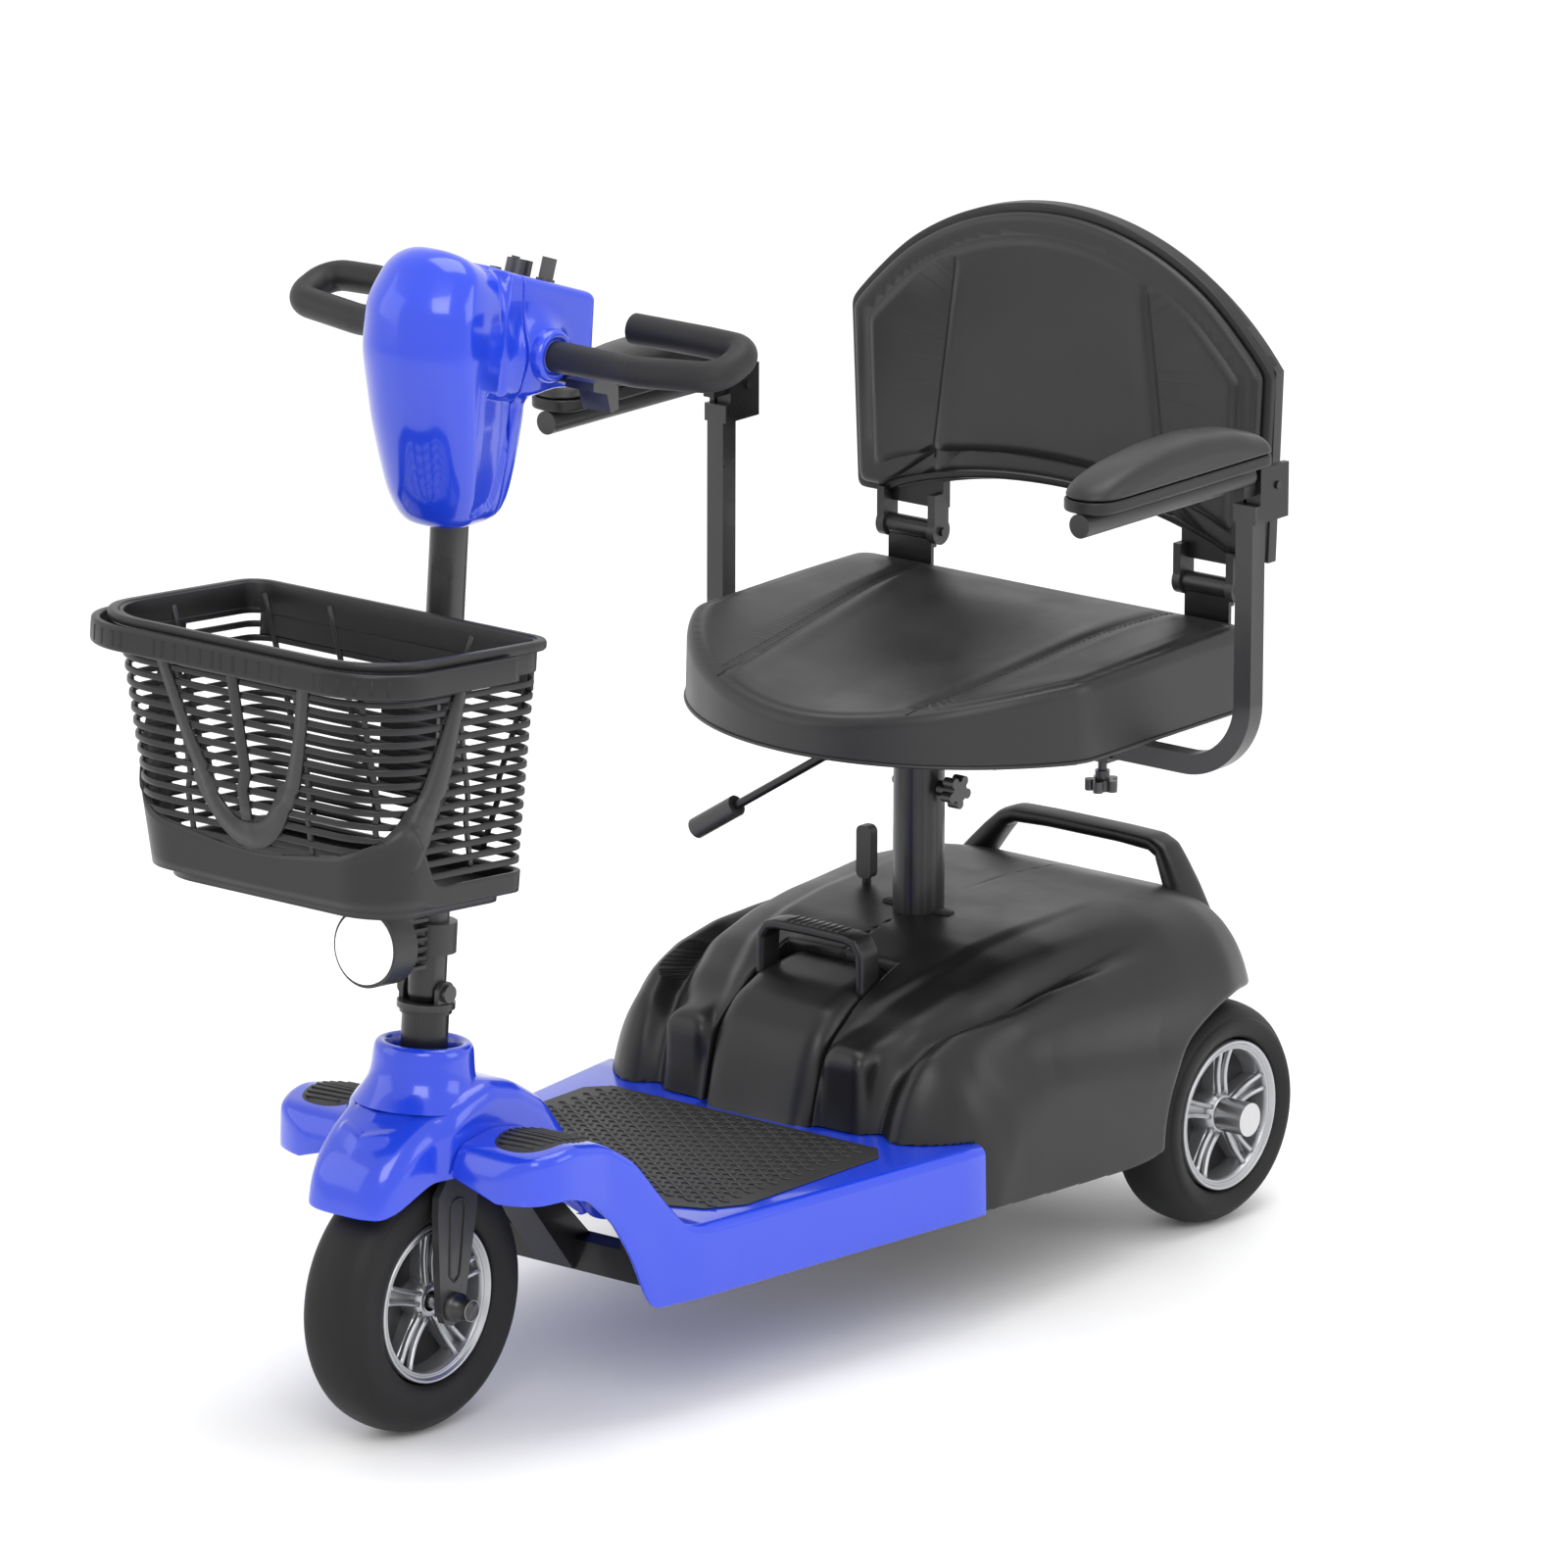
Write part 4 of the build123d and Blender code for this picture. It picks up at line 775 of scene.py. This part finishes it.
def basket_ring(h, grow=0.0, count=160):
    """Points round the basket's wall at height h, with outward directions, in the column frame."""
    t = (h - BASKET_LOW) / (BASKET_RIM - BASKET_LOW)
    w, front, back = 137 + 21 * t + grow, -222 - 48 * t - grow, -42 - 15 * t + grow
    r_front, r_back = 45 + 17 * t, 20
    corners = [(w - r_front, front + r_front, r_front, -math.pi / 2), (w - r_back, back - r_back, r_back, 0),
               (-w + r_back, back - r_back, r_back, math.pi / 2), (-w + r_front, front + r_front, r_front, math.pi)]
    path = []
    for cx, cy, r, start in corners:
        for k in range(13):
            a = start + math.pi / 2 * k / 12
            path.append((cx + r * math.cos(a), cy + r * math.sin(a), math.cos(a), math.sin(a)))
    out = []
    total = [0.0]
    m = len(path)
    for i in range(m):
        total.append(total[-1] + math.dist(path[(i + 1) % m][:2], path[i][:2]))
    i = 0
    for k in range(count):
        s = total[-1] * k / count
        while total[i + 1] < s:
            i += 1
        f = (s - total[i]) / max(total[i + 1] - total[i], 1e-9)
        p, q = path[i], path[(i + 1) % m]
        out.append(tuple(a + (b - a) * f for a, b in zip(p, q)))
    return out


def ring_sweep(h, section, grow=0.0):
    """A bar of that section carried round the wall at height h."""
    points = [(column((x, y, h)), column_direction(nx, ny)) for x, y, nx, ny in basket_ring(h, grow)]
    return sweep(points, section, closed=True)


def arc_of(ring, keep):
    """The one run of ring points where keep(x, y) holds, in order."""
    start = next(i for i, p in enumerate(ring) if keep(*p[:2]) and not keep(*ring[i - 1][:2]))
    return [p for p in ring[start:] + ring[:start] if keep(*p[:2])]


def front_of(ring):
    """Index of the ring's front middle."""
    return min(range(len(ring)), key=lambda i: ring[i][1] + abs(ring[i][0]) * 1e-3)


def perimeter(ring):
    """Length round the ring."""
    return sum(math.dist(ring[i][:2], ring[i - 1][:2]) for i in range(len(ring)))


def slab(w, t, r=0.8, steps=2):
    """Rounded rectangle section, w across (outward) and t up, centred."""
    pts = []
    for cx, cy, start in ((w / 2 - r, t / 2 - r, 0), (r - w / 2, t / 2 - r, math.pi / 2),
                          (r - w / 2, r - t / 2, math.pi), (w / 2 - r, r - t / 2, 3 * math.pi / 2)):
        for k in range(steps + 1):
            a = start + math.pi / 2 * k / steps
            pts.append((cx + r * math.cos(a), cy + r * math.sin(a)))
    return pts


def wall_point(u, h, out=0.0):
    """Point of the basket wall: u is the distance along the ring from its front middle, towards +X."""
    ring = basket_ring(h, out)
    at = (front_of(ring) + u / perimeter(ring) * len(ring)) % len(ring)
    i, f = int(at), at % 1
    p, q = ring[i], ring[(i + 1) % len(ring)]
    x, y, nx, ny = (a + (b - a) * f for a, b in zip(p, q))
    return column((x, y, h)), column_direction(nx, ny)


BAND_TOP = line([(0, 409), (30, 411), (90, 420), (125, 434), (150, 450), (160, 449), (170, 424), (178, 398),
                 (190, 393), (560, 393)], 3)


def basket():
    """Basket: slats, ribs, closed lower band, rim, tray and rear hook."""
    meshes = [ring_sweep(403 + 11.6 * k, slab(3.4, 5.6, 1.4, 3), grow=-2.0) for k in range(16)]
    meshes.append(basket_band())
    meshes += floor_and_tray()
    meshes += basket_ribs()
    meshes.append(ring_sweep(BASKET_RIM - 4, slab(9, 8.5, 2.5, 3), grow=1.5))
    meshes.append(ring_sweep(BASKET_RIM - 14, slab(4.0, 26, 1.2), grow=-1.8))
    h = BASKET_RIM - 28
    back = [(column((x, y, h)), column_direction(nx, ny))
            for x, y, nx, ny in arc_of(basket_ring(h, -1.8), lambda x, y: y > -62)]
    meshes.append(sweep(back, slab(4.0, 34, 1.2)))
    solid("basket_body", merged(*meshes), "black_plastic", "basket", ["basket"])


def basket_band():
    """Closed band round the foot of the wall, with its outer and inner face and its wavy top."""
    count = 240
    base = basket_ring(BASKET_LOW, 0.0, count)
    front, spacing = front_of(base), perimeter(base) / count
    tops = [float(BAND_TOP(min((i - front) % count, (front - i) % count) * spacing)) for i in range(count)]
    rings = {}
    verts = []
    for depth, heights in ((0.6, np.linspace(0, 1, 7)), (-4.4, np.linspace(1, 0, 7))):
        for f in heights:
            for i in range(count):
                h = BASKET_LOW + (tops[i] - BASKET_LOW) * f
                level = round(h, 1)
                if level not in rings:
                    rings[level] = basket_ring(level, 0.0, count)
                x, y, nx, ny = rings[level][i]
                verts.append(column((x + depth * nx, y + depth * ny, h)))
    return verts, bands(14, count, loop=True)


def floor_and_tray():
    """Floor plate inside the band and the stepped tray below it."""
    out = []
    for low, high, grow in ((367, 378, -12), (376, 380, -3)):
        verts, faces = prism([p[:2] for p in basket_ring(BASKET_LOW, grow, 120)], low, high)
        out.append(([column(v) for v in verts], faces))
    return out


def tapered_rib(path):
    """Rib laid on the wall through (u, height, width) points, flush edges on both sides."""
    out, deep = 1.2, 3.4
    verts = []
    for k, (u, h, width) in enumerate(path):
        p, q = path[max(0, k - 1)], path[min(len(path) - 1, k + 1)]
        along = (q[0] - p[0], q[1] - p[1])
        scale = width / 2 / math.hypot(*along)
        for du, dh, lift in ((-along[1], along[0], 0.0), (-along[1], along[0], 1.0), (along[1], -along[0], 1.0),
                             (along[1], -along[0], 0.0)):
            inset = 1.0 if lift else 1.0 + 0.8 / max(width, 1)
            pos, _ = wall_point(u + du * scale * inset, h + dh * scale * inset, out - deep * (1 - lift))
            verts.append(pos)
    last = 4 * (len(path) - 1)
    return verts, bands(len(path), 4) + [(0, 1, 2, 3), (last, last + 1, last + 2, last + 3)]


def basket_ribs():
    """Upright ribs, the front loop and the curved side ribs."""
    ribs = []
    for u in (-128, -64, 0, 64, 128, 225, -225, 330, -330, 400, -400):
        low, width, out = (436, 11, 0.6) if u == 0 else (400, 5, -3.4)
        ribs.append(sweep([wall_point(u, h, out) for h in np.linspace(low, 580, 12)], slab(3.0, width, 1.0)))
    loop = [(80 * t, 423 + 156 * abs(t) ** 2.3, 23 - 12 * min(1.0, abs(t) / 0.8)) for t in np.linspace(-1, 1, 57)]
    ribs.append(tapered_rib(loop))
    for side in (-1, 1):
        curve = [(side * (146 + 97 * f ** 0.78), 424 + 158 * f, 30 * (1 - f) ** 1.2 + 9)
                 for f in np.linspace(0, 1, 29)]
        ribs.append(tapered_rib(curve))
    return ribs


def bail_handle():
    """Bail handle round the front of the rim, with its grip ribs."""
    out, pivot = 10.8, -106
    points = arc_of(basket_ring(BASKET_RIM, out, 240), lambda x, y: y < pivot)
    h = BASKET_RIM - 17
    run = [(column((x, y, h)), column_direction(nx, ny)) for x, y, nx, ny in points]
    slits = []
    count = len(points)
    for centre, amount in ((0.5, 12), (0.29, 6), (0.71, 6)):
        for k in range(amount):
            at = int(centre * count + (k - (amount - 1) / 2) * 2.8)
            x, y, nx, ny = points[at]
            x, y, normal = x + 3.3 * nx, y + 3.3 * ny, column_direction(nx, ny)
            slits.append(sweep([(column((x, y, h + dz)), normal) for dz in (-6.5, 0, 6.5)], slab(1.4, 3.4, 0.5)))
    solid("bail_slits", merged(*slits), "thread", "basket_bail")
    solid("bail_body", sweep(run, slab(7.5, 21, 2.6, 4)), "black_plastic", "basket_bail", ["basket_handle"])


# ---------------------------------------------------------------- wheels
def tyre_profile(radius, bead, width):
    """Section of the tyre: (radius, along the axle)."""
    half = width / 2
    side = [(bead, -half + 8), (bead + 4, -half + 5), (bead + 9, -half + 2.2), ((radius + bead) / 2, -half + 0.4),
            (radius - 13, -half + 3.2), (radius - 12.2, -half + 5.2), (radius - 11.2, -half + 5.2),
            (radius - 7, -half + 9.5), (radius - 3, -half + 15), (radius - 0.8, -half + 24), (radius, -4)]
    return side + [(r, -a) for r, a in side[::-1]] + [(bead, -half + 8)]


def rim_profile(outer, half):
    """Section of the rim barrel with two bright lips each side."""
    side = [(outer - 1, -half + 9), (outer - 0.3, -half + 1.5), (outer - 1.6, -half), (outer - 3.4, -half + 0.6),
            (outer - 4.2, -half + 3.6), (outer - 6.4, -half + 4.2), (outer - 7.2, -half + 2.8),
            (outer - 8.6, -half + 3.6), (outer - 9.4, -half + 9), (outer - 11, 0)]
    return side + [(r, -a) for r, a in side[::-1]]


def spoke_mesh(hub, outer, half, angle, place):
    """One spoke: two rounded ribs joined by a lower web, widening at the rim."""
    c, s = math.cos(angle), math.sin(angle)
    reach = lambda f: hub - 3 + (outer - 8 - hub + 3) * f
    meshes = []
    for across in (-1, 1):
        for face in (-1, 1):
            points = []
            for f in (k / 8 for k in range(9)):
                r, off = reach(f), across * (4.6 + 2.6 * f ** 2)
                dx = face * (half - 10 - 3.0 * math.sin(math.pi * f) + 3.0 * f)
                points.append((place((r * c - off * s, r * s + off * c, dx)), (face, 0, 0)))
            meshes.append(sweep(points, slab(5.5, 4.4, 1.9, 3)))
    web = [(place((reach(k / 6) * c, reach(k / 6) * s, 0)), (1, 0, 0)) for k in range(7)]
    meshes.append(sweep(web, slab(2 * half - 26, 12, 3, 3)))
    return meshes


def wheel(tag, body, centre, sizes, replaces):
    """Tyre and five-spoke rim turned about a wheel's axle."""
    radius, bead, width, half, hub = sizes
    place = wheel_place(*centre)
    verts, faces = lathe(tyre_profile(radius, bead, width), 96, place)
    tyre = to_object(f"tyre_{tag}", verts, faces, "tyre", body, replaces[:1])
    modify(tyre, "SUBSURF", levels=1, render_levels=1)
    solid(f"rim_{tag}", lathe(rim_profile(bead, half), 96, place), "rim_silver", body, replaces[1:])
    hub_profile = [(9, half - 8), (hub - 5, half - 7.4), (hub - 3.4, half - 8.6), (hub, half - 14), (hub + 0.4, 0),
                   (hub, 14 - half), (hub - 3.4, 8.6 - half), (hub - 5, 7.4 - half), (9, 8 - half)]
    meshes = [lathe(hub_profile, 48, place)]
    for k in range(5):
        meshes += spoke_mesh(hub, bead, half, math.pi / 2 + 2 * math.pi * k / 5, place)
    solid(f"spokes_{tag}", merged(*meshes), "rim_silver", body)
    pocket = [(hub - 1, 2.5), (bead - 9, 6), (bead - 9, -6), (hub - 1, -2.5), (hub - 1, 2.5)]
    solid(f"pocket_{tag}", lathe(pocket, 64, place), "rim_dark", body)


def wheels():
    """The three wheels; sizes are radius, bead radius, width, half the rim's width, hub radius."""
    for tag, side in SIDES:
        wheel(f"rear_{tag}", f"rear_wheel_{tag}", (side * 160, *REAR_AXLE), (100, 67.5, 70.2, 31, 20),
              [f"rear_tyre_{tag}", f"rear_rim_{tag}"])
    wheel("front", "front_wheel", (0, AXLE_Y, AXLE_Z), (114, 69.4, 70.2, 29.5, 17), ["front_tyre", "front_rim"])


# ---------------------------------------------------------------- floor mat and toe pads
RIB = slab(1.8, 3.2, 0.8)


def wave_bars(x0, x1, y0, y1, pitch, z):
    """Short wavy bars laid in staggered rows at height z, as moulded on a rubber mat."""
    meshes = []
    row = 0
    y = y0
    while y <= y1:
        x = x0 + (pitch if row % 2 else 0)
        while x + 17 <= x1:
            points = [((x + 19 * f, y + 2.6 * math.sin(2 * math.pi * f), z), (0, 0, 1))
                      for f in (k / 8 for k in range(9))]
            meshes.append(sweep(points, RIB))
            x += 2 * pitch
        row += 1
        y += 8.2
    return merged(*meshes)


def mat():
    """Floor mat: a thin sheet with wavy ribs."""
    half = [(64, -194), (140, -160), (160, -128), (163, 46), (146, 66)]
    outline = half + [(-x, y) for x, y in half[::-1]]
    sheet = to_object("mat_sheet", *prism(outline, 165.2, 166.8), "mat_rubber", "chassis", ["floor_mat"])
    sheet.data.shade_flat()
    modify(sheet, "BEVEL", width=0.0007, segments=2, limit_method="ANGLE")
    to_object("mat_ribs", *wave_bars(-150, 150, -150, 58, 11.5, 167.2), "mat_rubber", "chassis")


def toe_pads():
    """Oval ribbed pads on the foot lobes, following the deck."""
    for tag, side in SIDES:
        cx, cy, a, b = side * 105, -330, 31, 44
        verts = []
        for k in range(9):
            for i in range(48):
                t = 2 * math.pi * i / 48
                x, y = cx + a * k / 8 * bulge(math.cos(t), 0.8), cy + b * k / 8 * bulge(math.sin(t), 0.8)
                drop = 1.6 if k == 8 else 0.0
                verts.append((x, y, float(DECK_TOP(y)) + 1.5 - drop))
        meshes = [(verts, [face[::-1] for face in bands(9, 48)])]
        for k in range(9):
            y = cy - 34 + 8.5 * k
            reach = 0.86 * a * math.sqrt(max(0.0, 1 - ((y - cy) / b) ** 2))
            ends = [(cx + reach * f, y + 2 * f, float(DECK_TOP(y)) + 1.9) for f in (-1, -0.5, 0, 0.5, 1)]
            meshes.append(sweep([(p, (0, 0, 1)) for p in ends], RIB))
        solid(f"toe_pad_{tag}", merged(*meshes), "mat_rubber", "chassis", ["toe_pads"] if side > 0 else [])


# ---------------------------------------------------------------- battery, handles, small parts
def battery_shape(x, y, z):
    """Implicit battery: a domed block with a step round its foot."""
    top = line([(70, 150), (81, 185), (88, 215), (98, 238), (118, 258), (150, 271), (185, 276), (205, 278)], 5)
    slope = (top(y + 1) - top(y - 1)) / 2
    cap = (z - top(y)) / np.sqrt(1 + slope ** 2)
    body = smax(cap, np.abs(x) - BATTERY_HALF, 22)
    return smax(smax(body, 122.5 - z, 3), y - 199, 3)


def battery():
    """Battery case and its bridge handle with a ribbed top."""
    verts, faces = skin(battery_shape, (0, 148, 200), (59, 65, 78), NET // 2)
    to_object("battery_skin", verts, faces, "black_plastic", "battery", ["battery_case"])
    foot = [(-55, 262), (-55, 286), (-54, 300), (-48, 309), (-38, 311.5)]
    bridge = fill_in(foot + [(0, 312)] + [(-x, z) for x, z in foot[::-1]], 4)
    meshes = [sweep([((x, 166, z), (0, 1, 0)) for x, z in bridge], slab(25, 8.5, 3.2, 4))]
    for k in range(9):
        rib = [(-28 + 7 * k, y, z) for y, z in ((156, 316), (166, 316.4), (176, 316))]
        meshes.append(sweep([(p, (0, 0, 1)) for p in rib], slab(1.4, 3.2, 0.6)))
    solid("battery_grip", merged(*meshes), "black_plastic", "battery", ["battery_handle"])


def rear_handle():
    """Grab handle at the back of the body, wide at its feet."""
    slim = 7.5
    foot = [(-132, 236, 12), (-125, 264, 14), (-112, 285, 12), (-98, 304, 10), (-88, 316, 8.5), (-76, 321, 8),
            (-40, 322, slim)]
    fine = fill_in(foot + [(0, 322, slim)] + [(-x, z, r) for x, z, r in foot[::-1]], 5)
    verts = []
    count = 20
    for i, (x, z, r) in enumerate(fine):
        p, q = fine[max(0, i - 1)], fine[min(len(fine) - 1, i + 1)]
        along = Vector((q[0] - p[0], 0, q[1] - p[1])).normalized()
        across = Vector((-along.z, 0, along.x))
        for k in range(count):
            a = 2 * math.pi * k / count
            c, s = bulge(math.cos(a), 0.75), bulge(math.sin(a), 0.75)
            depth = 14 + (r - slim) * 1.2
            verts.append(tuple(Vector((x, 552 - 2.4 * (r - slim) + depth * c, z)) + across * (s * r)))
    ends = [tuple(range(count)), tuple(range((len(fine) - 1) * count, len(fine) * count))]
    faces = bands(len(fine), count) + ends
    handle = to_object("rear_grip", verts, faces, "black_plastic", "chassis", ["rear_handle"])
    modify(handle, "SUBSURF", levels=1, render_levels=1)
    tidy_normals(handle)


def trims():
    """Dark slots round the seat post and the freewheel lever, the fork's pressed slots and the axle's end caps."""
    for name, x, y, z, rx, ry in (("post_slot", 0, 307, 302.2, 37, 7), ("lever_slot", -82, 342, 301.0, 8, 24)):
        ring = []
        for k in range(48):
            a = 2 * math.pi * k / 48
            ring.append((x + rx * bulge(math.cos(a), 0.4), y + ry * bulge(math.sin(a), 0.4)))
        verts = [(px, py, z) for px, py in ring] + [(px, py, z - 6) for px, py in ring]
        faces = [tuple(range(48))] + [(i, i + 48, (i + 1) % 48 + 48, (i + 1) % 48) for i in range(48)]
        solid(name, (verts, faces), "thread", "chassis")
    slot = [(-9, 84), (-6, 91), (0, 93), (6, 91), (9, 84), (7, 40), (6, 26), (0, 21), (-6, 26), (-7, 40)]
    cap = [(0.01, 67.2), (7.6, 67.0), (8.8, 66), (9.3, 64), (9.3, 52), (12.5, 51.4), (12.5, 45.2)]
    for tag, side in SIDES:
        points = [(column((side * 45.3, y, h)), (side, 0, 0)) for y, h in slot]
        solid(f"fork_bead_{tag}", sweep(points, slab(2.4, 1.8, 0.7), closed=True), "frame_black", "steering")
        solid(f"axle_cap_{tag}", lathe(cap, 32, across_column(side, 0, 0)), "knob_black", "steering")


# ---------------------------------------------------------------- stage, light, camera
def studio():
    """White floor out to the horizon under a white sky, and four soft lamps."""
    floor = bpy.data.meshes.new("floor")
    bm = bmesh.new()
    bm.faces.new([bm.verts.new((60 * x, 60 * y, 0)) for x, y in ((-1, -1), (1, -1), (1, 1), (-1, 1))])
    bm.to_mesh(floor)
    obj = bpy.data.objects.new("floor", floor)
    floor.materials.append(material("floor_white", (0.97, 0.97, 0.97), (0.6, 0.7), 40, 0.02, mottle=0.01))
    bpy.context.scene.collection.objects.link(obj)
    lamps = [("key", (2.6, -3.4, 3.6), 70, 2.4), ("fill", (-3.4, -3.2, 2.2), 25, 3.0),
             ("top", (0.3, 0.6, 4.2), 60, 2.6), ("side", (4.2, 1.4, 1.8), 30, 2.2)]
    for name, place, power, size in lamps:
        lamp = bpy.data.lights.new(name, "AREA")
        lamp.energy = power
        lamp.size = size
        lamp_obj = bpy.data.objects.new(name, lamp)
        lamp_obj.location = place
        aim = Vector((0, 0, 0.45)) - Vector(place)
        lamp_obj.rotation_euler = aim.to_track_quat("-Z", "Y").to_euler()
        bpy.context.scene.collection.objects.link(lamp_obj)
    world = bpy.data.worlds.new("studio")
    world.use_nodes = True
    sky = world.node_tree.nodes["Background"].inputs
    sky["Color"].default_value = (1, 1, 1, 1)
    sky["Strength"].default_value = 1.0
    bpy.context.scene.world = world
    bpy.context.scene.view_settings.view_transform = "Standard"


def camera():
    """Long-lens camera from the front left."""
    turn, tilt, roll = math.radians(38.6914), math.radians(15.2919), math.radians(0.1903)
    right = Vector((math.cos(turn), math.sin(turn), 0))
    back = Vector((math.sin(turn) * math.cos(tilt), -math.cos(turn) * math.cos(tilt), math.sin(tilt)))
    up = back.cross(right)
    across = right * math.cos(roll) + up * math.sin(roll)
    over = up * math.cos(roll) - right * math.sin(roll)
    data = bpy.data.cameras.new("camera")
    data.lens = 274.4
    data.sensor_width = 36.0
    data.clip_end = 60
    obj = bpy.data.objects.new("camera", data)
    facing = Matrix((across, over, back)).transposed().to_4x4()
    obj.matrix_world = Matrix.Translation((6.1656, -7.579, 3.1479)) @ facing
    bpy.context.scene.collection.objects.link(obj)
    bpy.context.scene.camera = obj


for build in (rear_body, head, shroud, deck, seat_cushion, backrest, armrests, basket, bail_handle, wheels, mat,
              toe_pads, battery, rear_handle, trims, studio, camera):
    build()
